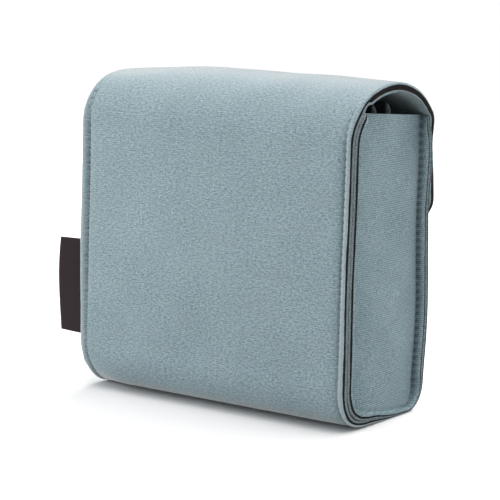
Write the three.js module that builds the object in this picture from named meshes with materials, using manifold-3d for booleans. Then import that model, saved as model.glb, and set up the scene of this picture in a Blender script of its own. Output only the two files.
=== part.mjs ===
import * as THREE from 'three';
import { mergeVertices } from 'three/addons/utils/BufferGeometryUtils.js';
import Module from 'manifold-3d';

// Lens filter pouch in millimetres, +Z up. The flap closes on the front, which faces -Y.
// The origin lies on the flat bottom, midway between the front and back panels.
// Depths are measured inwards from the outer cloth.

// Outer strip: front, bottom, back and flap are one width of laminate
const bodyWidth = 106;
const bodyDepth = 50;
const backBaseRadius = 16;
const frontBaseRadius = 9;
const shoulderHeight = 93;
const crownRise = 18.7;
const crownSetback = 3;
const seamRise = 11.5;
const foldRise = 14.5;
const frontFoldRise = 4;
const backShoulderReach = 10;
const backCrownReach = 16;
const frontCrownReach = 12;
const frontShoulderReach = 6.5;
const flapDrop = 36;
const flapCornerRadius = 10;

// Layers of the laminate, and the glue line between them
const faceThickness = 0.8;
const coreThickness = 0.8;
const liningThickness = 0.5;
const stiffenerThickness = 0.5;
const stiffenerStart = 0.5;
const glueLine = 0.1;

// Gussets, folded into a pan whose turned-out flange is sewn to the strip
const gussetRecess = 4.2;
const foldRadius = 1.2;
const seamGap = 0.2;
const mouthRise = 1.8;
const mouthRun = 4;

// Sewing thread along the seams
const stitchInset = 2.6;
const threadRadius = 0.22;
const threadClearance = 0.07;
const threadEnd = 1.5;

// Folded label in the back seam
const labelHeight = 32;
const labelBase = 19.5;
const labelReach = 10;
const labelPly = 0.25;
const labelSwell = 0.3;
const labelRoot = 1.5;
const labelClearance = 0.1;

// Hook and loop patches with a plain border for their stitching
const patchWidth = 60;
const patchHeight = 16;
const patchRise = 4;
const patchBorder = 2.5;
const hookThickness = 0.7;
const hookBase = 0.35;
const loopThickness = 0.6;
const loopBase = 0.3;
const hookToLoop = 0.2;
const patchThreadRadius = 0.11;
const windowClearance = 0.3;

// Padded dividers, each hinged on its sewn base tape
const dividerCount = 3;
const dividerPad = 2.2;
const dividerCover = 0.6;
const dividerSideGap = 1.3;
const dividerFootMargin = 1.8;
const dividerLeanReach = 4;
const dividerHeadroom = 0.8;
const tapeThickness = 0.7;
const tapeEndInset = 1;

// Running clearances at the folds
const foldGap = 0.3;
const mouthClearance = 0.6;

// Steps along the curves
const bendSteps = 8;
const shoulderSteps = 6;
const archSteps = 12;
const foldSteps = 4;
const threadSides = 6;
const cornerSteps = 5;

// Sizes that follow from the ones above
const halfWidth = bodyWidth / 2;
const halfDepth = bodyDepth / 2;
const wrapThickness = faceThickness + glueLine + coreThickness + glueLine + liningThickness;
const flapThickness = wrapThickness + glueLine + stiffenerThickness;
const hookProud = hookThickness - liningThickness;
const leafGap = glueLine + loopThickness + hookToLoop + hookProud;
const flapFaceY = -(halfDepth + leafGap + flapThickness);
const crownHeight = shoulderHeight + crownRise;
const seamHeight = shoulderHeight + seamRise;
const foldHeight = shoulderHeight + foldRise;
const frontFoldHeight = shoulderHeight + frontFoldRise;
const leafEnd = frontFoldHeight - flapDrop;
const flangeInset = wrapThickness + seamGap + wrapThickness;
const panelX = halfWidth - gussetRecess;
const insideHalfWidth = panelX - wrapThickness;
const dividerThickness = dividerPad + 2 * (dividerCover + glueLine);
const flatBack = halfDepth - backBaseRadius;
const flatFront = frontBaseRadius - halfDepth;
const dividerSpan = flatBack - flatFront - dividerThickness - 2 * dividerFootMargin;
const dividerPitch = dividerSpan / (dividerCount - 1);
const firstDividerY = flatBack - dividerFootMargin - dividerThickness / 2;

const wasm = await Module();
wasm.setup();

// A station is a point on the strip's outer surface with its outward normal, in the Y-Z plane
function station(y, z, normalY, normalZ) {
  return {
    point: new THREE.Vector3(0, y, z),
    across: new THREE.Vector3(1, 0, 0),
    out: new THREE.Vector3(0, normalY, normalZ),
  };
}

// Quarter bend at the bottom, whose centre lies one radius above the floor
function bend(centreY, radius, fromAngle) {
  return Array.from({ length: bendSteps + 1 }, (_, step) => {
    const angle = fromAngle + (0.5 * Math.PI * step) / bendSteps;
    const [normalY, normalZ] = [Math.cos(angle), Math.sin(angle)];
    return station(centreY + radius * normalY, radius + radius * normalZ, normalY, normalZ);
  });
}

function curveRun(curve, from, to, steps) {
  return Array.from({ length: steps + 1 }, (_, step) => {
    const t = THREE.MathUtils.lerp(from, to, step / steps);
    const point = curve.getPoint(t);
    const tangent = curve.getTangent(t);
    return station(point.x, point.y, tangent.y, -tangent.x);
  });
}

// The arch is two cubic curves that meet at the crown with a level tangent
const crown = new THREE.Vector2(-crownSetback, crownHeight);
const backCurve = new THREE.CubicBezierCurve(
  new THREE.Vector2(halfDepth, shoulderHeight),
  new THREE.Vector2(halfDepth, shoulderHeight + backShoulderReach),
  new THREE.Vector2(crown.x + backCrownReach, crown.y),
  crown,
);
const frontCurve = new THREE.CubicBezierCurve(
  crown,
  new THREE.Vector2(crown.x - frontCrownReach, crown.y),
  new THREE.Vector2(flapFaceY, frontFoldHeight + frontShoulderReach),
  new THREE.Vector2(flapFaceY, frontFoldHeight),
);

function parameterAtHeight(curve, height) {
  let [low, high] = [0, 1];
  for (let halving = 0; halving < 50; halving += 1) {
    const middle = (low + high) / 2;
    if (curve.getPoint(middle).y < height) {
      low = middle;
    } else {
      high = middle;
    }
  }
  return low;
}

function archStations(setback) {
  const start = parameterAtHeight(backCurve, foldHeight + foldGap + setback);
  return [
    ...curveRun(backCurve, start, 1, archSteps),
    ...curveRun(frontCurve, 0, 1, archSteps).slice(1),
  ];
}

function inset(place, depth) {
  return place.point.clone().addScaledVector(place.out, -depth);
}

// Height of the lining under the arch at a given Y, by straight lines between its stations
function liningHeightAt(y) {
  const backRun = curveRun(backCurve, 0, 1, archSteps);
  const frontRun = curveRun(frontCurve, 0, 1, archSteps).slice(1);
  const line = [...backRun, ...frontRun].map((place) => inset(place, flapThickness));
  const after = line.findIndex((point) => point.y <= y);
  const [a, b] = [line[after - 1], line[after]];
  return THREE.MathUtils.mapLinear(y, a.y, b.y, a.z, b.z);
}

const frontTop = liningHeightAt(-halfDepth) - mouthClearance;
const leanedHalf = dividerSpan / 2 + dividerThickness / 2 + dividerLeanReach;
const dividerMiddle = firstDividerY - dividerSpan / 2;
const leanedHeights = [dividerMiddle - leanedHalf, dividerMiddle + leanedHalf].map(liningHeightAt);
const dividerTop = Math.min(...leanedHeights) - dividerHeadroom;

// A run of the strip from near the top of the front panel round the bottom to a height on the back
function shellStations(backEnd, frontTrim) {
  const endAt = parameterAtHeight(backCurve, backEnd);
  return [
    station(-halfDepth, frontTop - frontTrim, -1, 0),
    ...bend(flatFront, frontBaseRadius, Math.PI),
    ...bend(flatBack, backBaseRadius, 1.5 * Math.PI),
    ...curveRun(backCurve, 0, endAt, shoulderSteps),
  ];
}

function triangulate(outline) {
  const points = outline.map(([a, b]) => new THREE.Vector2(a, b));
  return THREE.ShapeUtils.triangulateShape(points, []).map(([a, b, c]) => {
    const area = (points[b].x - points[a].x) * (points[c].y - points[a].y)
      - (points[c].x - points[a].x) * (points[b].y - points[a].y);
    return area > 0 ? [a, b, c] : [a, c, b];
  });
}

function closedMesh(points, triangles) {
  const volume = triangles.reduce(
    (sum, [a, b, c]) => sum + points[a].dot(points[b].clone().cross(points[c])),
    0,
  );
  const outward = volume > 0 ? triangles : triangles.map(([a, b, c]) => [a, c, b]);
  const geometry = new THREE.BufferGeometry().setFromPoints(points);
  geometry.setIndex(outward.flat());
  return geometry;
}

const quad = (a, b, c, d) => [[a, b, c], [a, c, d]];

// Carries a closed section of [across, out] points along the stations
function sweep(stations, section, isRing = false) {
  const count = section.length;
  const points = stations.flatMap((place) => section.map(([across, out]) => place.point.clone()
    .addScaledVector(place.across, across)
    .addScaledVector(place.out, out)));
  const runs = isRing ? stations.length : stations.length - 1;
  const triangles = [];
  for (let run = 0; run < runs; run += 1) {
    const here = run * count;
    const next = ((run + 1) % stations.length) * count;
    for (let side = 0; side < count; side += 1) {
      const beside = (side + 1) % count;
      triangles.push(...quad(here + side, here + beside, next + beside, next + side));
    }
  }
  if (!isRing) {
    const last = (stations.length - 1) * count;
    for (const [a, b, c] of triangulate(section)) {
      triangles.push([a, c, b], [last + a, last + b, last + c]);
    }
  }
  return closedMesh(points, triangles);
}

function layerSection(depth, thickness) {
  return [
    [-halfWidth, -depth - thickness],
    [halfWidth, -depth - thickness],
    [halfWidth, -depth],
    [-halfWidth, -depth],
  ];
}

// The face cloth is drawn in along both seams, so its section has a groove for each thread
function groovedSection() {
  const stitchX = halfWidth - stitchInset;
  const reach = threadRadius + threadClearance;
  const floor = -2 * reach;
  const groove = (x) => [[x + reach, 0], [x + reach, floor], [x - reach, floor], [x - reach, 0]];
  return [
    [-halfWidth, -faceThickness],
    [halfWidth, -faceThickness],
    [halfWidth, 0],
    ...groove(stitchX),
    ...groove(-stitchX),
    [-halfWidth, 0],
  ];
}

function roundSection(centreAcross, centreOut, radius) {
  return Array.from({ length: threadSides }, (_, side) => {
    const angle = (2 * Math.PI * side) / threadSides;
    return [centreAcross + radius * Math.cos(angle), centreOut + radius * Math.sin(angle)];
  });
}

function toSolid(geometry) {
  const bare = geometry.clone();
  bare.deleteAttribute('normal');
  bare.deleteAttribute('uv');
  const merged = mergeVertices(bare);
  return new wasm.Manifold(new wasm.Mesh({
    numProp: 3,
    vertProperties: new Float32Array(merged.attributes.position.array),
    triVerts: new Uint32Array(merged.index.array),
  }));
}

function toGeometry(solid) {
  const mesh = solid.getMesh();
  const geometry = new THREE.BufferGeometry();
  geometry.setAttribute('position', new THREE.BufferAttribute(mesh.vertProperties, 3));
  geometry.setIndex(new THREE.BufferAttribute(mesh.triVerts, 1));
  return geometry;
}

function block(low, high) {
  const size = high.map((value, axis) => value - low[axis]);
  const middle = high.map((value, axis) => (value + low[axis]) / 2);
  return new THREE.BoxGeometry(...size).translate(...middle);
}

// Section of one gusset surface: the flange's raw edge, its flat, then the fold into the end panel
function gussetLine(depth) {
  const centreX = panelX + foldRadius;
  const centreInset = flangeInset + foldRadius;
  const radius = foldRadius + depth;
  const line = [[halfWidth, centreInset - radius]];
  for (let step = 0; step <= foldSteps; step += 1) {
    const angle = (0.5 * Math.PI * step) / foldSteps;
    line.push([centreX - radius * Math.sin(angle), centreInset - radius * Math.cos(angle)]);
  }
  return line;
}

// One layer of a gusset between two depths from its outer cloth, for the end at +X or -X
function gussetLayer(side, nearDepth, thickness) {
  const stations = shellStations(seamHeight, 0);
  const columns = foldSteps + 2;
  const rim = columns - 1;
  const last = stations.length - 1;
  const surfacePoints = (depth) => {
    const grid = stations.flatMap((place) => gussetLine(depth).map(([x, insetDepth]) => (
      inset(place, insetDepth).setX(x)
    )));
    const backEnd = grid[last * columns + rim];
    const frontEnd = grid[rim];
    const backMouth = backEnd.clone().add(new THREE.Vector3(0, -mouthRun, mouthRise));
    const frontMouth = frontEnd.clone().add(new THREE.Vector3(0, mouthRun, mouthRise));
    return [...grid, backMouth, frontMouth];
  };
  const outer = surfacePoints(nearDepth);
  const points = [...outer, ...surfacePoints(nearDepth + thickness)];
  const inner = outer.length;
  const at = (row, column) => row * columns + column;
  const triangles = [];
  for (let row = 0; row < last; row += 1) {
    for (let column = 0; column < rim; column += 1) {
      const corners = [at(row, column), at(row + 1, column), at(row + 1, column + 1), at(row, column + 1)];
      triangles.push(...quad(...corners));
      triangles.push(...quad(...corners.map((corner) => corner + inner).reverse()));
    }
    triangles.push(...quad(at(row, 0) + inner, at(row + 1, 0) + inner, at(row + 1, 0), at(row, 0)));
  }
  const panel = [...stations.keys()].map((row) => at(row, rim));
  const mouth = [at(last, rim), outer.length - 2, outer.length - 1, at(0, rim)];
  const loop = [...panel, mouth[1], mouth[2]];
  for (const triangle of triangulate(loop.map((index) => [points[index].y, points[index].z]))) {
    const [a, b, c] = triangle.map((corner) => loop[corner]);
    triangles.push([a, b, c], [a + inner, c + inner, b + inner]);
  }
  const backEdge = Array.from({ length: columns }, (_, column) => at(last, column));
  const frontEdge = Array.from({ length: columns }, (_, column) => at(0, rim - column));
  const topEdge = [...backEdge, mouth[1], mouth[2], ...frontEdge];
  for (let step = 0; step < topEdge.length - 1; step += 1) {
    const [here, next] = [topEdge[step], topEdge[step + 1]];
    triangles.push(...quad(here + inner, next + inner, next, here));
  }
  points.forEach((point) => point.setX(side * point.x));
  return closedMesh(points, triangles);
}

function leafOutline() {
  const top = frontFoldHeight - foldGap;
  const outline = new THREE.Shape();
  outline.moveTo(-halfWidth, top);
  outline.lineTo(-halfWidth, leafEnd + flapCornerRadius);
  const turn = [halfWidth - flapCornerRadius, leafEnd + flapCornerRadius, flapCornerRadius];
  outline.absarc(-turn[0], turn[1], turn[2], Math.PI, 1.5 * Math.PI, false);
  outline.absarc(turn[0], turn[1], turn[2], 1.5 * Math.PI, 2 * Math.PI, false);
  outline.lineTo(halfWidth, top);
  return outline;
}

function rectangle(width, low, high) {
  return new THREE.Shape([
    new THREE.Vector2(-width / 2, low),
    new THREE.Vector2(width / 2, low),
    new THREE.Vector2(width / 2, high),
    new THREE.Vector2(-width / 2, high),
  ]);
}

// Upright plate whose inner face lies at faceY, with its thickness towards the front
function frontPlate(outline, faceY, thickness) {
  const settings = { depth: thickness, bevelEnabled: false, curveSegments: cornerSteps };
  return new THREE.ExtrudeGeometry(outline, settings)
    .rotateX(Math.PI / 2)
    .translate(0, faceY, 0);
}

function linedLeaf(faceY, thickness) {
  const outline = leafOutline();
  const [low, high] = [patchLow - windowClearance, patchLow + patchHeight + windowClearance];
  outline.holes.push(rectangle(patchWidth + 2 * windowClearance, low, high));
  return frontPlate(outline, faceY, thickness);
}

// Patch with a thin sewn border round a raised field, standing off backY towards the given side
function patch(backY, direction, base, thickness) {
  const slab = (border, from, to) => {
    const [a, b] = [backY + direction * from, backY + direction * to];
    const reach = patchWidth / 2 - border;
    return block(
      [-reach, Math.min(a, b), patchLow + border],
      [reach, Math.max(a, b), patchLow + patchHeight - border],
    );
  };
  const field = toSolid(slab(patchBorder, base / 2, thickness));
  return toGeometry(toSolid(slab(0, 0, base)).add(field));
}

function patchThread(backY, direction, base) {
  const middleY = backY + direction * (base + threadClearance + patchThreadRadius);
  const stitchBorder = patchBorder / 2;
  const [x, low, high] = [patchWidth / 2, patchLow, patchLow + patchHeight];
  const corners = [
    [x, high, 0],
    [-x, high, 1],
    [-x, low, 2],
    [x, low, 3],
  ];
  const stations = corners.flatMap(([cornerX, cornerZ, turn]) => (
    Array.from({ length: cornerSteps + 1 }, (_, step) => {
      const angle = 0.5 * Math.PI * (turn + step / cornerSteps);
      const normal = new THREE.Vector3(Math.cos(angle), 0, Math.sin(angle));
      const centre = new THREE.Vector3(
        cornerX - Math.sign(cornerX) * patchBorder,
        middleY,
        cornerZ - Math.sign(cornerZ - (low + high) / 2) * patchBorder,
      );
      return {
        point: centre.addScaledVector(normal, stitchBorder),
        across: normal,
        out: new THREE.Vector3(0, 1, 0),
      };
    })
  ));
  return sweep(stations, roundSection(0, 0, patchThreadRadius), true);
}

// Folded ribbon: two plies that part a little towards the rounded fold, seen in the X-Y plane
function labelOutline(root, tip, swell, ply) {
  const outline = new THREE.Path();
  outline.moveTo(root, -ply);
  outline.lineTo(tip - swell, -swell);
  outline.absarc(tip - swell, 0, swell, -0.5 * Math.PI, 0.5 * Math.PI, false);
  outline.lineTo(root, ply);
  return outline.getPoints(cornerSteps);
}

function labelLoop() {
  const root = halfWidth + foldGap;
  const tip = halfWidth + labelReach;
  const shape = new THREE.Shape(labelOutline(root, tip, labelPly + labelSwell, labelPly));
  const hole = labelOutline(root + labelRoot, tip - labelPly, labelSwell, labelClearance / 2);
  shape.holes.push(new THREE.Path(hole));
  const settings = { depth: labelHeight, bevelEnabled: false, curveSegments: cornerSteps };
  return new THREE.ExtrudeGeometry(shape, settings).translate(0, labelY, labelBase);
}

// Cloth folded over a pad: an upside-down U, run along X
function dividerOutline(thickness, top) {
  const radius = thickness / 2;
  const outline = new THREE.Path();
  outline.moveTo(radius, leafFoot);
  outline.absarc(0, top - radius, radius, 0, Math.PI, false);
  outline.lineTo(-radius, leafFoot);
  return outline.getPoints(2 * cornerSteps);
}

function alongX(shape, length) {
  const settings = { depth: length, bevelEnabled: false, curveSegments: 2 * cornerSteps };
  return new THREE.ExtrudeGeometry(shape, settings)
    .translate(0, 0, -length / 2)
    .rotateX(Math.PI / 2)
    .rotateZ(Math.PI / 2);
}

const patchLow = leafEnd + patchRise;
const tailThickness = seamGap + liningThickness - 2 * labelClearance;
const labelY = halfDepth - wrapThickness - labelClearance - tailThickness / 2;
const tapeTop = wrapThickness + glueLine + tapeThickness;
const leafFoot = tapeTop + foldGap;
const dividerWidth = 2 * (insideHalfWidth - dividerSideGap);

const finishes = {
  cloth: { color: 0x8ea4aa, roughness: 0.95, metalness: 0 },
  lining: { color: 0x9fb2b6, roughness: 0.9, metalness: 0 },
  foam: { color: 0x16171a, roughness: 0.9, metalness: 0 },
  board: { color: 0x2a2422, roughness: 0.8, metalness: 0 },
  thread: { color: 0x7fa0ab, roughness: 0.7, metalness: 0 },
  divider: { color: 0x1b1c1f, roughness: 0.9, metalness: 0 },
  hook: { color: 0x3a4347, roughness: 0.75, metalness: 0 },
  label: { color: 0x352e30, roughness: 0.7, metalness: 0 },
};

function addPart(group, name, geometry, finish) {
  const mesh = new THREE.Mesh(geometry, new THREE.MeshStandardMaterial(finishes[finish]));
  mesh.name = name;
  group.add(mesh);
}

// Depths at which the layers lie below the outer cloth
const coreDepth = faceThickness + glueLine;
const liningDepth = coreDepth + coreThickness + glueLine;
const flapLiningDepth = liningDepth + stiffenerThickness + glueLine;

function makePouch() {
  const pouch = new THREE.Group();
  const run = shellStations(foldHeight, 0);
  addPart(pouch, 'wrap_face_fabric', sweep(run, groovedSection()), 'cloth');
  addPart(pouch, 'wrap_foam_core', sweep(run, layerSection(coreDepth, coreThickness)), 'foam');
  addPart(pouch, 'wrap_lining', sweep(run, layerSection(liningDepth, liningThickness)), 'lining');

  const seamRun = shellStations(seamHeight - threadEnd, threadEnd);
  const stitchDepth = threadRadius + threadClearance;
  const bobbinDepth = flangeInset + threadClearance + threadRadius;
  const stitchX = halfWidth - stitchInset;
  for (const [name, side] of [['left', 1], ['right', -1]]) {
    const needle = roundSection(side * stitchX, -stitchDepth, threadRadius);
    const bobbin = roundSection(side * stitchX, -bobbinDepth, threadRadius);
    const pocket = block(
      [panelX + foldRadius, labelY - tailThickness, labelBase - windowClearance],
      [halfWidth + labelReach, halfDepth - wrapThickness, labelBase + labelHeight + windowClearance],
    );
    const wholeLining = gussetLayer(side, liningDepth, liningThickness);
    const lining = side > 0 ? toGeometry(toSolid(wholeLining).subtract(toSolid(pocket))) : wholeLining;
    addPart(pouch, `gusset_${name}_face_fabric`, gussetLayer(side, 0, faceThickness), 'cloth');
    addPart(pouch, `gusset_${name}_foam_core`, gussetLayer(side, coreDepth, coreThickness), 'foam');
    addPart(pouch, `gusset_${name}_lining`, lining, 'lining');
    addPart(pouch, `seam_thread_${name}`, sweep(seamRun, needle), 'thread');
    addPart(pouch, `bobbin_thread_${name}`, sweep(seamRun, bobbin), 'thread');
  }

  const loopBack = -(halfDepth + glueLine);
  addPart(pouch, 'loop_patch', patch(loopBack, -1, loopBase, loopThickness), 'cloth');
  addPart(pouch, 'loop_patch_thread', patchThread(loopBack, -1, loopBase), 'thread');
  return pouch;
}

function makeFlapArch() {
  const arch = new THREE.Group();
  const run = archStations(0);
  const stiffenedRun = archStations(stiffenerStart);
  addPart(arch, 'flap_arch_face_fabric', sweep(run, layerSection(0, faceThickness)), 'cloth');
  addPart(arch, 'flap_arch_foam_core', sweep(run, layerSection(coreDepth, coreThickness)), 'foam');
  const stiffener = layerSection(liningDepth, stiffenerThickness);
  addPart(arch, 'flap_arch_stiffener', sweep(stiffenedRun, stiffener), 'board');
  addPart(arch, 'flap_arch_lining', sweep(run, layerSection(flapLiningDepth, liningThickness)), 'lining');
  return arch;
}

function makeFlapFront() {
  const leaf = new THREE.Group();
  const layerY = (depth, thickness) => flapFaceY + depth + thickness;
  const plate = (depth, thickness) => frontPlate(leafOutline(), layerY(depth, thickness), thickness);
  addPart(leaf, 'flap_front_face_fabric', plate(0, faceThickness), 'cloth');
  addPart(leaf, 'flap_front_foam_core', plate(coreDepth, coreThickness), 'foam');
  addPart(leaf, 'flap_front_stiffener', plate(liningDepth, stiffenerThickness), 'board');
  const lining = linedLeaf(layerY(flapLiningDepth, liningThickness), liningThickness);
  addPart(leaf, 'flap_front_lining', lining, 'lining');

  const hookBack = flapFaceY + flapLiningDepth;
  addPart(leaf, 'hook_patch', patch(hookBack, 1, hookBase, hookThickness), 'hook');
  addPart(leaf, 'hook_patch_thread', patchThread(hookBack, 1, hookBase), 'thread');
  return leaf;
}

function makeDivider(number) {
  const divider = new THREE.Group();
  const padThickness = dividerPad + 2 * glueLine;
  const outside = dividerOutline(dividerThickness, dividerTop);
  const inside = dividerOutline(padThickness, dividerTop - dividerCover);
  const cover = new THREE.Shape([...outside, ...inside.reverse()]);
  const pad = new THREE.Shape(dividerOutline(dividerPad, dividerTop - dividerCover - glueLine));
  const reach = dividerWidth / 2 - tapeEndInset;
  const tape = block(
    [-reach, -dividerThickness / 2, wrapThickness + glueLine],
    [reach, dividerThickness / 2, tapeTop],
  );
  addPart(divider, `divider_${number}_cover`, alongX(cover, dividerWidth), 'divider');
  addPart(divider, `divider_${number}_pad`, alongX(pad, dividerWidth), 'foam');
  addPart(divider, `divider_${number}_base_tape`, tape, 'divider');
  divider.position.y = firstDividerY - dividerPitch * (number - 1);
  return divider;
}

function makeLabel() {
  const label = new THREE.Group();
  const tail = block(
    [panelX + foldRadius + windowClearance, labelY - tailThickness / 2, labelBase],
    [halfWidth, labelY + tailThickness / 2, labelBase + labelHeight],
  );
  addPart(label, 'label_tail', tail, 'label');
  addPart(label, 'label_loop', labelLoop(), 'label');
  return label;
}

const lensFilterPouch = new THREE.Group();
lensFilterPouch.add(makePouch(), makeFlapArch(), makeFlapFront(), makeLabel());
for (let number = 1; number <= dividerCount; number += 1) {
  lensFilterPouch.add(makeDivider(number));
}

export default lensFilterPouch;
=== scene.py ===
import math

import bpy
import numpy as np
from mathutils import Matrix, Vector


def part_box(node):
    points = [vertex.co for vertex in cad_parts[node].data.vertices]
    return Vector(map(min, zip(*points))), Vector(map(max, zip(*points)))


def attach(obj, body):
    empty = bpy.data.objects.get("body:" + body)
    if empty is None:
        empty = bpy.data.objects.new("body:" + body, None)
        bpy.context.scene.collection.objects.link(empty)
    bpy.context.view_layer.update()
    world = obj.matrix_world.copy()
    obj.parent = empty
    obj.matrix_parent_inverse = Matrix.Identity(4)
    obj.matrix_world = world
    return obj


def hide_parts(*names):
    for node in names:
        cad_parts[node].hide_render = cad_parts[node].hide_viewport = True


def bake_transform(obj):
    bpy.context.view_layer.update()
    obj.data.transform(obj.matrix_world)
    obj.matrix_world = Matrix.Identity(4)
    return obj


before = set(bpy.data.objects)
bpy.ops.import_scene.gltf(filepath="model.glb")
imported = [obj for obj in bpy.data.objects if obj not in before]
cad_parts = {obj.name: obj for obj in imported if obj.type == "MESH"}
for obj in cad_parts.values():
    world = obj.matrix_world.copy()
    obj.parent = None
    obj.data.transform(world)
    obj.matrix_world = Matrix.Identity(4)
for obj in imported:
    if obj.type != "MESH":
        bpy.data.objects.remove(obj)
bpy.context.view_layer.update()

mm = 0.001
print("frame loaded:", len(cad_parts), "nodes")


def deselectAll():
    if bpy.context.mode != "OBJECT":
        bpy.ops.object.mode_set(mode="OBJECT")
    bpy.ops.object.select_all(action="DESELECT")


def pick(piece, *others):
    deselectAll()
    for each in (piece, *others):
        each.select_set(True)
    bpy.context.view_layer.objects.active = piece


def named(name):
    piece = bpy.context.object
    piece.name = name
    piece.data.name = name
    return piece


def addGrid(name, columns, rows):
    deselectAll()
    bpy.ops.mesh.primitive_grid_add(x_subdivisions=columns, y_subdivisions=rows, size=2)
    return named(name)


def addBall(name):
    deselectAll()
    bpy.ops.mesh.primitive_uv_sphere_add(segments=8, ring_count=6, radius=1)
    return named(name)


def addBox(name, size, centre):
    deselectAll()
    bpy.ops.mesh.primitive_cube_add(size=1, location=centre)
    piece = named(name)
    piece.scale = size
    bpy.ops.object.transform_apply(location=True, rotation=False, scale=True)
    return piece


def applyModifier(piece, kind, **settings):
    pick(piece)
    modifier = piece.modifiers.new(kind.lower(), kind)
    for key, value in settings.items():
        setattr(modifier, key, value)
    bpy.ops.object.modifier_apply(modifier=modifier.name)


def repeat(piece, count, step):
    applyModifier(
        piece, "ARRAY", count=count, use_relative_offset=False, use_constant_offset=True,
        constant_offset_displace=step)


def join(piece, *others):
    pick(piece, *others)
    bpy.ops.object.join()


def editAll(piece):
    pick(piece)
    bpy.ops.object.mode_set(mode="EDIT")
    bpy.ops.mesh.select_all(action="SELECT")


def faceOutwards(piece):
    editAll(piece)
    bpy.ops.mesh.normals_make_consistent(inside=False)
    bpy.ops.object.mode_set(mode="OBJECT")


def places(piece):
    flat = np.empty(len(piece.data.vertices) * 3, np.float32)
    piece.data.vertices.foreach_get("co", flat)
    return flat.reshape(-1, 3).astype(float)


def movePoints(piece, moved):
    piece.data.vertices.foreach_set("co", np.asarray(moved, np.float32).ravel())
    piece.data.update()


def smooth(piece, angle=50):
    pick(piece)
    bpy.ops.object.shade_smooth_by_angle(angle=math.radians(angle))


# Soft steps and bumps that the shapes are written with
def ease(t):
    t = np.clip(t, 0, 1)
    return t * t * (3 - 2 * t)


def rising(value, start, reach):
    return ease((value - start) / reach)


def falling(value, end, reach):
    return ease((end - value) / reach)


def hump(value, start, end):
    return np.sin(math.pi * np.clip((value - start) / (end - start), 0, 1)) ** 2


def bell(distance, width):
    return np.exp(-(distance / width) ** 2)


def mix(first, second, factor):
    return first + (second - first) * factor


# The strip's outer line, seen from the end: front, bottom, back, arch and flap in one run
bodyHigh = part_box("wrap_face_fabric")[1]
archLow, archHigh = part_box("flap_arch_face_fabric")
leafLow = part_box("flap_front_face_fabric")[0]
halfWidth = bodyHigh.x
halfDepth = bodyHigh.y

stripShape = {
    "backBend": 16 * mm,
    "frontBend": 9 * mm,
    "shoulder": 93 * mm,
    "seamEnd": 104.5 * mm,
    "crownSetback": 3 * mm,
    "backShoulderReach": 10 * mm,
    "backCrownReach": 16 * mm,
    "frontCrownReach": 12 * mm,
    "frontShoulderReach": 6.5 * mm,
    "step": 0.2 * mm,
    "bendPoints": 60,
    "archPoints": 120,
}


def quarterBend(centreY, radius, fromAngle):
    angle = np.linspace(fromAngle, fromAngle + math.pi / 2, stripShape["bendPoints"])
    return np.column_stack((centreY + radius * np.cos(angle), radius + radius * np.sin(angle)))


def cubicRun(a, b, c, d):
    t = np.linspace(0, 1, stripShape["archPoints"])[:, None]
    a, b, c, d = (np.array(point) for point in (a, b, c, d))
    return (1 - t) ** 3 * a + 3 * (1 - t) ** 2 * t * b + 3 * (1 - t) * t * t * c + t ** 3 * d


def stripLine():
    shape = stripShape
    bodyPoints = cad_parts["wrap_face_fabric"].data.vertices
    frontTop = max(point.co.z for point in bodyPoints if point.co.y < 0)
    crown = (-shape["crownSetback"], archHigh.z)
    corners = np.concatenate((
        [(-halfDepth, frontTop)],
        quarterBend(shape["frontBend"] - halfDepth, shape["frontBend"], math.pi),
        quarterBend(halfDepth - shape["backBend"], shape["backBend"], 1.5 * math.pi),
        cubicRun(
            (halfDepth, shape["shoulder"]),
            (halfDepth, shape["shoulder"] + shape["backShoulderReach"]),
            (crown[0] + shape["backCrownReach"], crown[1]),
            crown,
        ),
        cubicRun(
            crown,
            (crown[0] - shape["frontCrownReach"], crown[1]),
            (leafLow.y, archLow.z + shape["frontShoulderReach"]),
            (leafLow.y, archLow.z),
        )[1:],
        [(leafLow.y, leafLow.z)],
    ))
    along = np.concatenate(([0], np.cumsum(np.linalg.norm(np.diff(corners, axis=0), axis=1))))
    run = np.linspace(0, along[-1], int(along[-1] / shape["step"]))
    y = np.interp(run, along, corners[:, 0])
    z = np.interp(run, along, corners[:, 1])
    slopeY, slopeZ = np.gradient(y, run), np.gradient(z, run)
    slope = np.hypot(slopeY, slopeZ)
    return {"run": run, "y": y, "z": z, "outY": slopeZ / slope, "outZ": -slopeY / slope}


line = stripLine()
runEnd = line["run"][-1]
runCrown = line["run"][np.argmax(line["z"])]
runFrontFold = runEnd - (archLow.z - leafLow.z)
runFlat = line["z"][0] - stripShape["frontBend"] * (1 - math.pi / 2)
runBottom = runFlat + halfDepth - (stripShape["frontBend"] + stripShape["backBend"]) / 2
runBackBend = 2 * runBottom - runFlat
runFrontCorner = runFlat - stripShape["frontBend"] * math.pi / 4
runBackCorner = runBackBend + stripShape["backBend"] * math.pi / 4


def lineAt(run):
    return (np.interp(run, line["run"], line[key]) for key in ("y", "z", "outY", "outZ"))


def backRun(height):
    onBack = (line["run"] > runBackBend) & (line["run"] <= runCrown)
    return np.interp(height, line["z"][onBack], line["run"][onBack])


def frontRun(height):
    return line["z"][0] - height


def leafRun(height):
    return runFrontFold + archLow.z - height


runShoulder = backRun(stripShape["shoulder"])
runSeamEnd = backRun(stripShape["seamEnd"])
runFold = backRun(bodyHigh.z)

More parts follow.
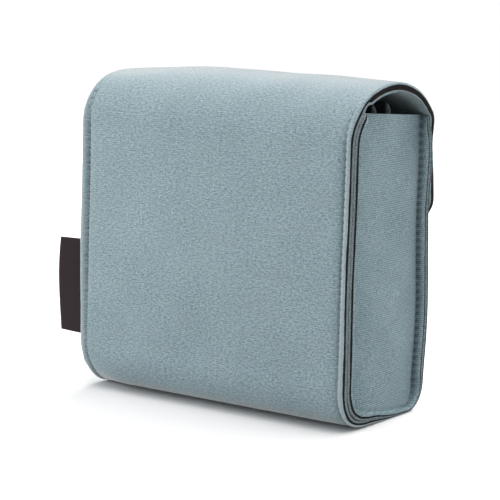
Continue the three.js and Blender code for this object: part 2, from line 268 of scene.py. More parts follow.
# How the soft laminate swells and sags away from its plain outline
softness = {
    "backSwell": 1.3 * mm,
    "frontSwell": 2.3 * mm,
    "backSeamShare": 0.35,
    "frontSeamShare": 0.75,
    "flareReach": 7 * mm,
    "frontFlare": 1.6 * mm,
    "upperFlareShare": 0.7,
    "topFlareShare": 0.15,
    "mouthFlare": 1.2 * mm,
    "leafFlare": 2.3 * mm,
    "backFlare": 0.3 * mm,
    "rimRise": 0.5 * mm,
    "rimPinch": 1.0 * mm,
    "pinchReach": 1.6 * mm,
    "lowPinchShares": (0.7, 0.2),
    "floorSqueeze": 0.2,
    "frontSqueeze": 0.6,
    "heelLift": 1.0 * mm,
    "heelLiftShares": (0.6, 0.3),
    "heelFill": 1.4 * mm,
    "heelFillShares": (0.6, -0.5),
    "frontLean": 0.1 * mm,
    "leafLean": 0.7 * mm,
    "labelEndLean": 0.4,
    "leafShort": 1.7 * mm,
    "hemShortShare": 0.4,
    "rimShear": 0.24,
    "backShear": 0.18,
    "frontShear": 0.55,
    "cornerShear": 0.12,
    "labelEndSag": 2.6 * mm,
    "plainEndSag": 0.5 * mm,
    "leafSagShare": 0.4,
    "ripple": 0.11 * mm,
    "broadRipple": (8.3 * mm, 11.7 * mm),     # how slowly it waves, across and along
    "fineRipple": (4.1 * mm, 6.3 * mm),
    "fineShare": 0.6,
}

seam = {
    "inset": 2.05 * mm,
    "start": 1.5 * mm,
    "end": runSeamEnd - 1.5 * mm,
    "pitch": 2.5 * mm,
    "groove": 0.3 * mm,
    "grooveWidth": 0.45 * mm,
    "hole": 0.3 * mm,
    "holeWidth": 0.6 * mm,
    "rimPuff": 0.1 * mm,
    "puffPlace": 1.4 * mm,
    "puffWidth": 0.7 * mm,
}


def byEnd(across, name):
    # one share for the plain end, one for the label's end
    return np.where(across > 0, *softness[name])


def swell(run, across):
    bow = 1 - (across / halfWidth) ** 2
    back = softness["backSwell"] * hump(run, runBackBend + 6 * mm, runShoulder + 8 * mm)
    front = softness["frontSwell"] * hump(run, frontRun(68 * mm), runFlat - 4 * mm)
    bulge = back * mix(softness["backSeamShare"], 1, bow) + front * mix(softness["frontSeamShare"], 1, bow)
    return bulge + ripple(run, across) + flare(run, across) + settle(run, across)


def ripple(run, across):
    # the cloth is never quite even, but it lies flat on the floor
    broadAcross, broadAlong = softness["broadRipple"]
    fineAcross, fineAlong = softness["fineRipple"]
    wave = np.sin(across / broadAcross + 0.7) * np.sin(run / broadAlong + 0.4)
    wave = wave + softness["fineShare"] * np.sin(across / fineAcross - run / fineAlong)
    offFloor = rising(np.interp(run, line["run"], line["z"]), 10 * mm, 12 * mm)
    return softness["ripple"] * wave * offFloor


def settle(run, across):
    # the base rocks up a little towards the back, and one end of the mouth is drawn in
    inner = falling(np.abs(across), halfWidth, 14 * mm)
    lift = softness["heelLift"] * hump(run, runBackBend - 16 * mm, runBackBend + 14 * mm)
    fill = softness["heelFill"] * hump(run, runBackBend + 2 * mm, runBackBend + 28 * mm)
    heel = fill * mix(byEnd(across, "heelFillShares"), 1, inner)
    heel = heel - lift * mix(byEnd(across, "heelLiftShares"), 1, inner)
    front = softness["frontLean"] * falling(run, frontRun(80 * mm), 12 * mm)
    arch = rising(run, runFrontFold - 18 * mm, 14 * mm) * falling(run, leafRun(78 * mm), 12 * mm)
    end = mix(softness["labelEndLean"], 1, ease(across / halfWidth))
    return heel - (front + softness["leafLean"] * arch) * end


def flare(run, across):
    # the sewn rims splay outwards, most along the front
    rim = np.clip((np.abs(across) - halfWidth) / softness["flareReach"] + 1, 0, 1.2) ** 2
    front = softness["frontFlare"] * falling(run, runFlat + 2 * mm, 14 * mm)
    front = front * mix(softness["upperFlareShare"], 1, rising(run, frontRun(70 * mm), 14 * mm))
    mouth = falling(run, frontRun(66 * mm), 20 * mm) * (1 - falling(run, frontRun(86 * mm), 12 * mm))
    front = front + softness["mouthFlare"] * mouth
    front = front * mix(1, softness["topFlareShare"], falling(run, 8 * mm, 8 * mm))
    back = softness["backFlare"] * hump(run, runBackBend + 8 * mm, runShoulder + 12 * mm)
    leaf = softness["leafFlare"] * rising(run, runFrontFold - 8 * mm, 12 * mm)
    return rim * (front + back + leaf) + seamRidge(run, across)


def seamRidge(run, across):
    # the stitches draw the cloth in and the free rim turns up beyond them
    beyond = (np.abs(across) - halfWidth) / seam["inset"] + 1
    onWalls = falling(run, runFlat - 3 * mm, 12 * mm) + rising(run, runBackBend + 3 * mm, 12 * mm)
    sewn = onWalls * falling(run, runSeamEnd + 2 * mm, 18 * mm) * rising(run, 0, 8 * mm)
    ridge = softness["rimRise"] * np.clip(beyond, 0, 1.2)
    inner = bell(np.minimum(beyond, 0) * seam["inset"], softness["pinchReach"])
    drawn = mix(byEnd(across, "lowPinchShares"), 1, rising(run, runBackBend + 14 * mm, 48 * mm))
    return sewn * drawn * (ridge - softness["rimPinch"] * inner * np.clip(1 - beyond, 0, 1))


def rimShear(run, across, depth):
    # layers slide past each other in the rim: the inner ones stand out, but up the front the outer ones do
    rim = rising(np.abs(across), halfWidth - 3.5 * mm, 3.5 * mm)
    corner = softness["cornerShear"] * hump(run, runFlat - 26 * mm, runFlat + 8 * mm)
    back = softness["backShear"] * rising(run, runBackBend, 20 * mm)
    front = softness["frontShear"] * falling(run, runFlat - 2 * mm, 16 * mm)
    sewn = falling(run, runSeamEnd + 3 * mm, 6 * mm)
    return np.sign(across) * rim * depth * (softness["rimShear"] + corner + back - front) * sewn


def squeeze(run, across):
    # the seam flattens the layers, hardest round the front bottom corner
    rim = rising(np.abs(across), halfWidth - 4.8 * mm, 3 * mm)
    floor = softness["floorSqueeze"] * falling(run, runBackBend + 10 * mm, 20 * mm)
    front = (softness["frontSqueeze"] - softness["floorSqueeze"]) * falling(run, runBackBend, 24 * mm)
    return 1 - rim * (floor + front)


def sag(run, across):
    # the arch hangs lower towards its free ends
    labelEnd = np.clip((-across / halfWidth - 0.1) / 0.9, 0, 1) ** 2
    plainEnd = np.clip((across / halfWidth - 0.3) / 0.7, 0, 1) ** 2
    archStart = runShoulder + 12 * mm
    rise = rising(run, archStart, runCrown - archStart)
    fall = mix(1, softness["leafSagShare"], rising(run, runCrown, runFrontFold - runCrown))
    return (softness["labelEndSag"] * labelEnd + softness["plainEndSag"] * plainEnd) * rise * fall


def leafDraw(run, across):
    # one side of the leaf hangs a little short of the body's end
    down = rising(run, runFrontFold - 8 * mm, 14 * mm)
    down = down * mix(1, softness["hemShortShare"], rising(run, runFrontFold + 8 * mm, 20 * mm))
    return softness["leafShort"] * down * rising(across, 30 * mm, 22 * mm)


# Flat pieces lie as on a cutting table: across, run along the strip, height over the outer cloth
def onStrip(flat):
    across, run, height = np.asarray(flat, float).T
    y, z, outY, outZ = lineAt(run)
    height = height * squeeze(run, across)
    out = height + swell(run, across)
    across = across + rimShear(run, across, -height) - leafDraw(run, across)
    return np.column_stack((-across, y + outY * out, z + outZ * out - sag(run, across)))


def stripPoint(run):
    return Vector(onStrip([[0, run, 0]])[0])


def markCut(piece):
    flat = places(piece) / mm
    across = flat[:, 0] - np.sign(flat[:, 0]) * flat[:, 2]
    cut = np.column_stack((across, flat[:, 1]))
    corner = np.empty(len(piece.data.loops), np.int32)
    piece.data.loops.foreach_get("vertex_index", corner)
    while piece.data.uv_layers:
        piece.data.uv_layers.remove(piece.data.uv_layers[0])
    layer = piece.data.uv_layers.new(name="cut")
    layer.data.foreach_set("uv", cut[corner].astype(np.float32).ravel())


def wrapOnStrip(piece, angle=50):
    markCut(piece)
    movePoints(piece, onStrip(places(piece)))
    smooth(piece, angle)


print("strip line laid out:", round(runEnd / mm, 1), "mm long")


# Shader maths: a wire is a socket that sums and products can be written with
class Wire:
    def __init__(self, finish, socket):
        self.finish = finish
        self.socket = socket

    def __add__(self, other):
        return self.finish.maths("ADD", self, other)

    def __sub__(self, other):
        return self.finish.maths("SUBTRACT", self, other)

    def __rsub__(self, other):
        return self.finish.maths("SUBTRACT", other, self)

    def __mul__(self, other):
        return self.finish.maths("MULTIPLY", self, other)

    __radd__ = __add__
    __rmul__ = __mul__


class Finish:
    def __init__(self, tree):
        self.tree = tree

    def add(self, kind, settings=None, inputs=None, outlet=0):
        node = self.tree.nodes.new("ShaderNode" + kind)
        for key, value in (settings or {}).items():
            setattr(node, key, value)
        for key, value in (inputs or {}).items():
            self.feed(node.inputs[key], value)
        return Wire(self, node.outputs[outlet])

    def feed(self, socket, value):
        if isinstance(value, Wire):
            self.tree.links.new(value.socket, socket)
        else:
            socket.default_value = value

    def maths(self, operation, *values):
        return self.add("Math", {"operation": operation}, dict(enumerate(values)))

    def blend(self, factor, first, second):
        return self.add("Mix", {"data_type": "RGBA"}, {0: factor, 6: first, 7: second}, outlet=2)

    def noise(self, where, scale, detail=2.0, roughness=0.5):
        return self.add("TexNoise", None, {
            "Vector": where, "Scale": scale, "Detail": detail, "Roughness": roughness,
        })

    def ripples(self, where, pitch):
        return self.maths("SINE", where * (2 * math.pi / pitch))

    def axis(self, where, index):
        return self.add("SeparateXYZ", None, {"Vector": where}, outlet=index)

    def cutPlaces(self):
        return self.add("UVMap", {"uv_map": "cut"})

    def objectPlaces(self):
        bare = self.add("TexCoord", outlet="Object")
        return self.add("VectorMath", {"operation": "SCALE"}, {0: bare, "Scale": 1 / mm})

    def bump(self, height, distance, strength=1.0):
        return self.add("Bump", None, {"Height": height, "Distance": distance, "Strength": strength})

    def span(self, value, start, end, low=0.0, high=1.0, soft=False):
        kind = "SMOOTHSTEP" if soft else "LINEAR"
        return self.add("MapRange", {"interpolation_type": kind}, {
            "Value": value, "From Min": start, "From Max": end, "To Min": low, "To Max": high,
        })

    def surface(self, sockets):
        shader = self.tree.nodes["Principled BSDF"]
        for key, value in sockets.items():
            self.feed(shader.inputs[key], value)

    def cloth(self, colour, normal, sheen, others=None):
        self.surface({
            "Base Color": colour,
            "Normal": normal,
            "Roughness": 0.95,
            "Specular IOR Level": 0.15,
            "Sheen Weight": sheen,
            "Sheen Roughness": 0.5,
            **(others or {}),
        })


def newFinish(name):
    material = bpy.data.materials.new(name)
    material.use_nodes = True
    return material, Finish(material.node_tree)


def shade(red, green, blue):
    def toLinear(level):
        level = level / 255
        return level / 12.92 if level <= 0.04045 else ((level + 0.055) / 1.055) ** 2.4
    return (toLinear(red), toLinear(green), toLinear(blue), 1)


clothLook = {
    "dark": shade(106, 128, 135),
    "light": shade(162, 182, 189),
    "rubbed": shade(143, 156, 162),
    # painted highlight for the sewn rim
    "rim": shade(178, 192, 197),
    # painted shade for the seam groove
    "groove": shade(70, 92, 101),
    "sheen": shade(255, 250, 248),
    "pile": 1.5,      # grains per mm
    "fuzz": 3.6,
    "broad": 0.05,
    "patchy": 0.11,
    "course": 0.7,    # mm between rows of the knit
    "depth": 0.22 * mm,
}


def brushedCloth():
    material, finish = newFinish("brushedCloth")
    cut = finish.cutPlaces()
    across, run = finish.axis(cut, 0), finish.axis(cut, 1)
    drawn = finish.add("VectorMath", {"operation": "MULTIPLY"}, {0: cut, 1: (0.55, 1.15, 1)})
    pile = finish.noise(cut, clothLook["pile"], 2, 0.6)
    streak = finish.noise(drawn, clothLook["pile"], 2, 0.6)
    fuzz = finish.noise(cut, clothLook["fuzz"], 2)
    broad = finish.noise(cut, clothLook["broad"], 2)
    patchy = finish.noise(cut, clothLook["patchy"], 3, 0.6)
    row = finish.ripples(run + pile * 0.4, clothLook["course"])
    mottle = (pile - 0.5) * 1.1 + (streak - 0.5) * 1.3 + (fuzz - 0.5) * 1.4
    tone = 0.5 + mottle * 1.35 + (broad - 0.5) * 0.3 + row * 0.1
    height = pile * 0.35 + streak * 0.3 + fuzz * 0.35 + row * 0.08
    colour = finish.blend(tone, clothLook["dark"], clothLook["light"])
    worn = finish.blend(finish.span(patchy, 0.5, 0.75, 0.0, 0.35), colour, clothLook["rubbed"])

    # along the seam, in mm: painted shade in the stitched groove and its needle holes, painted shade on the
    # pressed rim beyond it and a painted highlight on its paler outer edge and on the plain end's rim
    stitched = (halfWidth - seam["inset"]) / mm
    seamEnd, heel = runSeamEnd / mm, runBackBend / mm
    fromMiddle = finish.maths("ABSOLUTE", across)
    fromSeam = fromMiddle - stitched
    nearSeam = finish.maths("ABSOLUTE", fromSeam)
    rim = finish.span(fromMiddle + pile * 0.3, stitched + 0.2, stitched + 0.7, soft=True)
    paintedRimShade = finish.span(fromSeam, 0.2, 1.3, 0.28, 0.0)
    edgeHighlight = finish.span(fromSeam, 0.4, 1.5, 0.0, 0.6)
    groove = finish.span(nearSeam, 0.1, 0.9, 0.5, 0.0, soft=True)
    holeShade = finish.span(nearSeam, 0.1, 0.7, 0.8, 0.0, soft=True)
    belowEnd = finish.span(run, seamEnd - 26, seamEnd - 2, 1.0, 0.0)
    upperHalf = finish.span(run, heel + 40, heel + 84, 0.15, 1.0, soft=True)
    aboveHeel = finish.span(run, heel + 14, heel + 60, 0.3, 1.0, soft=True)
    plainEnd = finish.span(across, -20.0, 20.0)
    labelEnd = 1 - plainEnd
    pucker = finish.ripples(run + pile * 0.6, seam["pitch"] / mm / 2)
    dotted = holeShade * (0.6 + pucker * 0.4) * labelEnd
    grooveShade = finish.maths("MAXIMUM", groove * (0.85 + pucker * 0.3) * aboveHeel, dotted)
    shaded = finish.maths("MAXIMUM", grooveShade, rim * paintedRimShade * labelEnd * upperHalf) * belowEnd
    highlighted = finish.blend((rim * plainEnd * 0.4 + edgeHighlight * labelEnd) * belowEnd, worn, clothLook["rim"])
    finish.cloth(
        finish.blend(shaded, highlighted, clothLook["groove"]), finish.bump(height, clothLook["depth"], 0.8), 0.9,
        {"Sheen Roughness": 0.35, "Sheen Tint": clothLook["sheen"]})
    return material


gussetLook = {
    "dark": shade(99, 122, 129),
    "light": shade(154, 175, 182),
    # painted shade for the crease beside the fold
    "creaseShading": shade(36, 53, 61),
    "course": 0.7,
    "wale": 0.66,
    "depth": 0.18 * mm,
}


def ribbedKnit():
    material, finish = newFinish("ribbedKnit")
    where = finish.objectPlaces()
    grain = finish.noise(where, 2.2, 2, 0.6)
    broad = finish.noise(where, 0.06, 2)
    row = finish.ripples(finish.axis(where, 2) + grain * 0.12, gussetLook["course"])
    wale = finish.ripples(finish.axis(where, 1) + finish.axis(where, 0) + grain * 0.25, gussetLook["wale"])
    loops = row * 0.5 + row * wale * 0.5
    tone = 0.5 + loops * 0.55 + (grain - 0.5) * 2.9 + (broad - 0.5) * 0.6
    knit = finish.blend(tone, gussetLook["dark"], gussetLook["light"])
    # painted shade in the crease beside the fold, carried by a point attribute
    creaseShading = finish.add("Attribute", {"attribute_name": "creaseShading"}, outlet="Fac")
    relief = finish.bump(loops * 0.3 + grain * 0.4, gussetLook["depth"], 0.8)
    finish.cloth(finish.blend(creaseShading, knit, gussetLook["creaseShading"]), relief, 0.05, {"Roughness": 0.93})
    return material


def underArch(finish):
    # how far a place on the strip's lining lies up under the flap, clear of the sewn ends
    cut = finish.cutPlaces()
    run = finish.axis(cut, 1)
    shoulder, seamEnd, edge = runShoulder / mm, runSeamEnd / mm, halfWidth / mm
    up = finish.span(run, shoulder - 6, shoulder + 4)
    above = finish.span(run, seamEnd, seamEnd + 5)
    inner = finish.span(finish.maths("ABSOLUTE", finish.axis(cut, 0)), edge - 2, edge - 3.5)
    return finish.maths("MAXIMUM", up * inner, above)


def plainCloth(name, dark, light, grainScale, sheen, depth, contrast, arch=None):
    material, finish = newFinish(name)
    where = finish.objectPlaces()
    grain = finish.noise(where, grainScale, 3, 0.6)
    fine = finish.noise(where, grainScale * 2.7, 2)
    tone = 0.5 + (grain - 0.5) * contrast + (fine - 0.5) * contrast * 0.6
    colour = finish.blend(tone, dark, light)
    if arch:
        colour = finish.blend(underArch(finish), colour, finish.blend(tone, *arch))
    finish.cloth(colour, finish.bump(grain * 0.6 + fine * 0.4, depth, 0.7), sheen)
    return material


dividerLook = {
    "dark": shade(14, 15, 17),
    "light": shade(42, 44, 48),
    # rim: a painted highlight along the sides, where the edges catch the light
    "rim": shade(158, 168, 172),
    "rimStart": 1.8,     # mm in from the side
    "rimFull": 0.4,
    "depth": 0.14 * mm,
}


def dividerCloth():
    material, finish = newFinish("dividerCloth")
    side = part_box("divider_1_cover")[1].x / mm
    where = finish.objectPlaces()
    grain = finish.noise(where, 1.8, 3, 0.6)
    fromMiddle = finish.maths("ABSOLUTE", finish.axis(where, 0))
    start, full = side - dividerLook["rimStart"], side - dividerLook["rimFull"]
    # painted highlight along the sides
    rim = finish.span(fromMiddle + grain * 0.8, start, full, soft=True)
    leaf = finish.blend(grain, dividerLook["dark"], dividerLook["light"])
    colour = finish.blend(rim * 0.9, leaf, dividerLook["rim"])
    finish.cloth(colour, finish.bump(grain, dividerLook["depth"], 0.7), 0.35)
    return material


def threadFinish():
    material, finish = newFinish("sewingThread")
    cut = finish.cutPlaces()
    twist = finish.ripples(finish.axis(cut, 1) + finish.axis(cut, 0) * 1.6, 0.34)
    tone = 0.5 + twist * 0.3
    finish.surface({
        "Base Color": finish.blend(tone, shade(140, 178, 188), shade(212, 236, 241)),
        "Roughness": 0.55,
        "Specular IOR Level": 0.4,
        "Sheen Weight": 0.15,
        "Normal": finish.bump(twist, 0.05 * mm, 0.8),
    })
    return material


def labelSatin():
    material, finish = newFinish("labelSatin")
    where = finish.objectPlaces()
    weft = finish.ripples(finish.axis(where, 2), 0.32)
    warp = finish.ripples(finish.axis(where, 0) + finish.axis(where, 2) * 0.5, 0.46)
    grain = finish.noise(where, 1.2, 3)
    tone = 0.4 + weft * 0.12 + weft * warp * 0.14 + (grain - 0.5) * 0.6
    finish.surface({
        "Base Color": finish.blend(tone, shade(18, 4, 9), shade(35, 17, 23)),
        "Roughness": 0.6 + (grain - 0.5) * 0.2,
        "Specular IOR Level": 0.17,
        "Sheen Weight": 0.05,
        "Normal": finish.bump(weft * 0.4 + weft * warp * 0.3, 0.05 * mm, 0.7),
    })
    return material


def boardFinish():
    material, finish = newFinish("stiffenerBoard")
    where = finish.objectPlaces()
    grain = finish.noise(where, 1.4, 4, 0.65)
    finish.surface({
        "Base Color": finish.blend(grain, shade(9, 6, 6), shade(30, 21, 20)),
        "Roughness": 0.85,
        "Specular IOR Level": 0.12,
        "Normal": finish.bump(grain, 0.06 * mm, 0.6),
    })
    return material


def hookFinish():
    material, finish = newFinish("hookTape")
    where = finish.objectPlaces()
    weave = finish.ripples(finish.axis(where, 0), 0.6) * finish.ripples(finish.axis(where, 2), 0.6)
    grain = finish.noise(where, 1.1, 2)
    tone = 0.5 + weave * 0.3 + (grain - 0.5) * 0.4
    finish.surface({
        "Base Color": finish.blend(tone, shade(50, 60, 64), shade(84, 96, 101)),
        "Roughness": 0.42,
        "Normal": finish.bump(weave, 0.06 * mm, 0.6),
    })
    return material


# Each finish: the slot it belongs in and its material
finishes = {
    "cloth": ("brushed_cloth", brushedCloth()),
    "gusset": ("brushed_cloth", ribbedKnit()),
    "lining": ("lining_cloth", plainCloth(
        "liningKnit", shade(62, 74, 79), shade(146, 162, 167), 2.4, 0.1, 0.12 * mm, 2.2,
        arch=(shade(101, 119, 125), shade(139, 158, 164)))),
    "flapLining": ("lining_cloth", plainCloth(
        "flapLiningKnit", shade(88, 106, 112), shade(150, 170, 176), 2.0, 0.2, 0.12 * mm, 1.4)),
    "foam": ("foam_core", plainCloth(
        "foamCore", shade(14, 14, 16), shade(34, 34, 37), 3.0, 0.0, 0.12 * mm, 1.2)),
    "board": ("stiffener_board", boardFinish()),
    "thread": ("sewing_thread", threadFinish()),
    "label": ("woven_label", labelSatin()),
    "divider": ("divider_cloth", dividerCloth()),
    "loop": ("loop_tape", plainCloth(
        "loopPile", shade(118, 138, 144), shade(170, 188, 194), 1.6, 0.35, 0.14 * mm, 1.0)),
    "hook": ("hook_tape", hookFinish()),
}


def dress(piece, finish):
    slot, material = finishes[finish]
    piece.data.materials.clear()
    piece.data.materials.append(material)


def install(piece, finish, body, *nodes):
    dress(piece, finish)
    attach(piece, body)
    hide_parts(*nodes)


print("finishes made:", len(finishes))


# Laminate: depth, thickness and cut-edge seed of each layer, its finish and how its solids' names end
laminate = {
    "face": (0.0, 0.72 * mm, 1, "cloth", "face_fabric"),
    "core": (0.73 * mm, 0.7 * mm, 2, "foam", "foam_core"),
    "lining": (1.44 * mm, 0.74 * mm, 3, "lining", "lining"),
    "board": (1.44 * mm, 1.04 * mm, 4, "board", "stiffener"),      # in the flap only
    "flapLining": (2.49 * mm, 0.36 * mm, 3, "flapLining", "lining"),
}
flapCorner = 10 * mm
edgeRound = 0.45 * mm
fineEdge = np.array([0.1, 0.25, 0.45]) * mm
stitchStep = seam["pitch"] / 5
coarseStep = 2 * mm
archStep = 1 * mm
bendZone = 5.5 * mm
peelBefore = 1.4 * mm
peelAfter = 10.5 * mm

hookLow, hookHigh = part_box("hook_patch")
loopLow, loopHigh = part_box("loop_patch")
bedMargin = 0.3 * mm
hookBed = {
    "reach": hookHigh.x + bedMargin,
    "floor": 0.05 * mm,
    "start": leafRun(hookHigh.z) - bedMargin,
    "end": leafRun(hookLow.z) + bedMargin,
}


def fromEdge(distances):
    inner = np.concatenate((distances, [halfWidth / mm])) * mm
    side = 1 - np.unique(inner) / halfWidth
    return np.unique(np.round(np.concatenate((side, -side)), 6))


fineColumns = fromEdge([
    0, 0.1, 0.25, 0.45, 0.8, 1.2, 1.5, 1.75, 1.95, 2.2, 2.45, 2.65, 2.9, 3.3, 4, 5.2, 7,
    10, 14, 18, 22, 26, 30, 34, 38, 42, 46, 50,
])
plainColumns = fromEdge([0, 0.3, 1, 2.5, 5, 9, 14, 20, 26, 32, 38, 44])
liningColumns = fromEdge([0, 0.3, 1, 3, 7, 13, 19, 22.6, 22.9, 23.2, 29, 35, 41, 47])


def rowsBetween(start, end, step, extra=()):
    inner = np.arange(math.ceil(start / step) * step, end, step)
    rows = np.unique(np.round(np.concatenate(([start, end], inner, extra)), 7))
    return rows[np.concatenate(([True], np.diff(rows) > 0.02 * mm))]


def cornerRows():
    angle = np.linspace(0, math.pi / 2, 15)
    return runEnd - np.concatenate((flapCorner * (1 - np.cos(angle)), fineEdge))


def bedRows():
    start, end = hookBed["start"], hookBed["end"]
    return np.array([start - 0.2 * mm, start + 0.1 * mm, end - 0.1 * mm, end + 0.2 * mm])


def widthAt(run):
    left = np.clip(runEnd - run, 0, flapCorner)
    drawnIn = flapCorner - np.sqrt(flapCorner ** 2 - (flapCorner - left) ** 2)
    return halfWidth - drawnIn


def toEdge(across, run):
    toSide = halfWidth - np.abs(across)
    toEnd = runEnd - run
    inCorner = (toSide < flapCorner) & (toEnd < flapCorner)
    toRound = flapCorner - np.hypot(flapCorner - toSide, flapCorner - toEnd)
    return np.where(inCorner, toRound, np.minimum(np.minimum(toSide, toEnd), run))


cutEdge = {
    "wobble": 0.07 * mm,
    "fray": 0.03 * mm,
    "lengths": (7.1 * mm, 2.9 * mm, 0.8 * mm),
}


def cutWobble(run, side, seed):
    phase = seed + side * 1.9
    longest, middle, shortest = cutEdge["lengths"]
    slow = np.sin(run / longest + phase) + 0.7 * np.sin(run / middle + 2.3 * phase)
    return cutEdge["wobble"] * slow + cutEdge["fray"] * np.sin(run / shortest + 3.1 * phase)


def clothSheet(name, layer, rows, columns):
    top, thickness, seed = laminate[layer][:3]
    piece = addGrid(name, len(columns) - 1, len(rows) - 1)
    grid = places(piece)
    column = np.rint((grid[:, 0] + 1) / 2 * (len(columns) - 1)).astype(int)
    row = np.rint((grid[:, 1] + 1) / 2 * (len(rows) - 1)).astype(int)
    run = rows[row]
    across = columns[column] * widthAt(run)
    nearEdge = np.clip(1 - (halfWidth - np.abs(across)) / (3 * mm), 0, 1)
    wobble = cutWobble(run, np.sign(across), seed) * squeeze(run, across) ** 2
    across = across + np.sign(across) * nearEdge * wobble
    movePoints(piece, np.column_stack((across, run, np.full(len(run), -top))))
    applyModifier(piece, "SOLIDIFY", thickness=thickness, offset=-1)
    return piece


def toNextHole(run):
    step = (run - seam["start"]) / seam["pitch"]
    return (step - np.rint(step)) * seam["pitch"]


def shapeFace(piece):
    # a rounded edge, the seam's groove with its needle holes and the puffed rim beside it
    flat = places(piece)
    across, run, height = flat.T
    upper = height > -laminate["face"][1] / 2
    edge = np.clip(toEdge(across, run), 0, edgeRound)
    rounded = edgeRound - np.sqrt(edgeRound ** 2 - (edgeRound - edge) ** 2)
    offset = np.abs(across) - (halfWidth - seam["inset"])
    sewn = rising(run, seam["start"] - 1 * mm, 1 * mm) * falling(run, seam["end"] + 1 * mm, 1 * mm)
    groove = seam["groove"] * bell(offset, seam["grooveWidth"])
    hole = seam["hole"] * bell(np.hypot(offset, toNextHole(run)), seam["holeWidth"])
    puff = seam["rimPuff"] * bell(offset - seam["puffPlace"], seam["puffWidth"])
    lowered = rounded + (groove + hole - puff) * sewn
    flat[:, 2] = np.where(upper, height - lowered, height)
    movePoints(piece, flat)


def sinkLining(piece):
    # the hook tape lies in a bed in the flap's lining
    flat = places(piece)
    across, run, height = flat.T
    top, thickness = laminate["flapLining"][:2]
    inside = (np.abs(across) < hookBed["reach"]) & (run > hookBed["start"]) & (run < hookBed["end"])
    lower = height < -(top + thickness / 2)
    flat[:, 2] = np.where(inside & lower, height + thickness - hookBed["floor"], height)
    movePoints(piece, flat)


def shiftLining(piece):
    # the lining steps inwards where the board starts
    flat = places(piece)
    step = laminate["flapLining"][0] - laminate["lining"][0]
    flat[:, 2] -= step * rising(flat[:, 1], runFold - 1.5 * mm, 3 * mm)
    movePoints(piece, flat)


def rideOnPouch(piece):
    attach(piece, "pouch")


def foldWithFlap(piece):
    stripPoint(runFold - bendZone)
    stripPoint(runFold + bendZone)
    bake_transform(piece)


def peelWithLeaf(piece):
    start, end = stripPoint(runFrontFold - peelBefore), stripPoint(runFrontFold + peelAfter)
    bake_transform(piece)


def layStrip(layers, solids, carry, length):
    for name, layer, rows, columns, shape in layers:
        piece = clothSheet(name, layer, rows, columns)
        if shape:
            shape(piece)
        finish, ending = laminate[layer][3:]
        wrapOnStrip(piece)
        dress(piece, finish)
        carry(piece)
        if layer == "board":
            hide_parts(*(solid + ending for solid in solids if solid != "wrap_"))
        else:
            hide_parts(*(solid + ending for solid in solids))


def makeFrontHalf():
    fine = rowsBetween(0.0, runBottom, stitchStep, fineEdge)
    coarse = rowsBetween(0.0, runBottom, coarseStep)
    layers = (
        ("frontFaceCloth", "face", fine, fineColumns, shapeFace),
        ("frontFoamCore", "core", coarse, plainColumns, None),
        ("frontLining", "lining", coarse, plainColumns, None),
    )
    layStrip(layers, ["wrap_"], rideOnPouch, runBottom)


def makeBackHalf():
    fine = rowsBetween(runBottom, runCrown, stitchStep)
    coarse = rowsBetween(runBottom, runCrown, archStep)
    boardRows = rowsBetween(runFold + 1 * mm, runCrown, archStep)
    layers = (
        ("backFaceCloth", "face", fine, fineColumns, shapeFace),
        ("backFoamCore", "core", coarse, plainColumns, None),
        ("backLining", "lining", coarse, plainColumns, shiftLining),
        ("flapBackBoard", "board", boardRows, plainColumns, None),
    )
    layStrip(layers, ["wrap_", "flap_arch_"], foldWithFlap, runCrown - runBottom)


def makeFlapLeaf():
    straightEnd = runEnd - flapCorner
    fine = rowsBetween(runCrown, straightEnd, stitchStep * 2, cornerRows())
    coarse = rowsBetween(runCrown, straightEnd, archStep, cornerRows())
    bedded = rowsBetween(runCrown, straightEnd, archStep, np.concatenate((cornerRows(), bedRows())))
    layers = (
        ("flapFaceCloth", "face", fine, fineColumns, shapeFace),
        ("flapFoamCore", "core", coarse, plainColumns, None),
        ("flapFrontBoard", "board", coarse, plainColumns, None),
        ("flapLining", "flapLining", bedded, liningColumns, sinkLining),
    )
    layStrip(layers, ["flap_arch_", "flap_front_"], peelWithLeaf, runEnd - runCrown)


makeFrontHalf()
makeBackHalf()
makeFlapLeaf()
print("strip layers wrapped")


# Lockstitch: one stitch is modelled, repeated in a row and laid in its groove
stitch = {
    "radius": 0.16 * mm,
    "length": 2.1 * mm,
    "plunge": 0.4 * mm,
    "slant": 0.05,
    "rise": 0.9 * mm,
    "endStitches": 4,
    "needleDepth": 0.44 * mm,
    "bobbinSink": 0.68 * mm,
}


def stitchRow(name, across, height, side=1):
    start, end, pitch = seam["start"], seam["end"], seam["pitch"]
    piece = addBall(name)
    ball = places(piece)
    along = ball[:, 2] * stitch["length"] / 2
    movePoints(piece, np.column_stack((
        ball[:, 0] * stitch["radius"] + along * stitch["slant"],
        along + start + pitch / 2,
        -ball[:, 1] * stitch["radius"] - stitch["plunge"] * np.abs(ball[:, 2]) ** 3,
    )))
    repeat(piece, int(round((end - start) / pitch)), (0, pitch, 0))
    flat = places(piece)
    toEnd = np.minimum(flat[:, 1] - start, end - flat[:, 1]) / (stitch["endStitches"] * pitch)
    rise = stitch["rise"] if side > 0 else 0.0
    flat[:, 2] = height + side * (flat[:, 2] + rise * (1 - ease(toEnd)))
    flat[:, 0] = across + side * flat[:, 0]
    movePoints(piece, flat)
    return piece


def makeSeamThreads():
    bobbinDepth = gusset["flangeInset"] - stitch["bobbinSink"]
    for name, side in (("left", -1), ("right", 1)):
        across = side * (halfWidth - seam["inset"])
        needle = stitchRow(name + "SeamStitches", across, -stitch["needleDepth"])
        bobbin = stitchRow(name + "BobbinStitches", across, -bobbinDepth, -1)
        for piece, node in ((needle, "seam_thread_"), (bobbin, "bobbin_thread_")):
            wrapOnStrip(piece, 80)
            install(piece, "thread", "pouch", node + name)


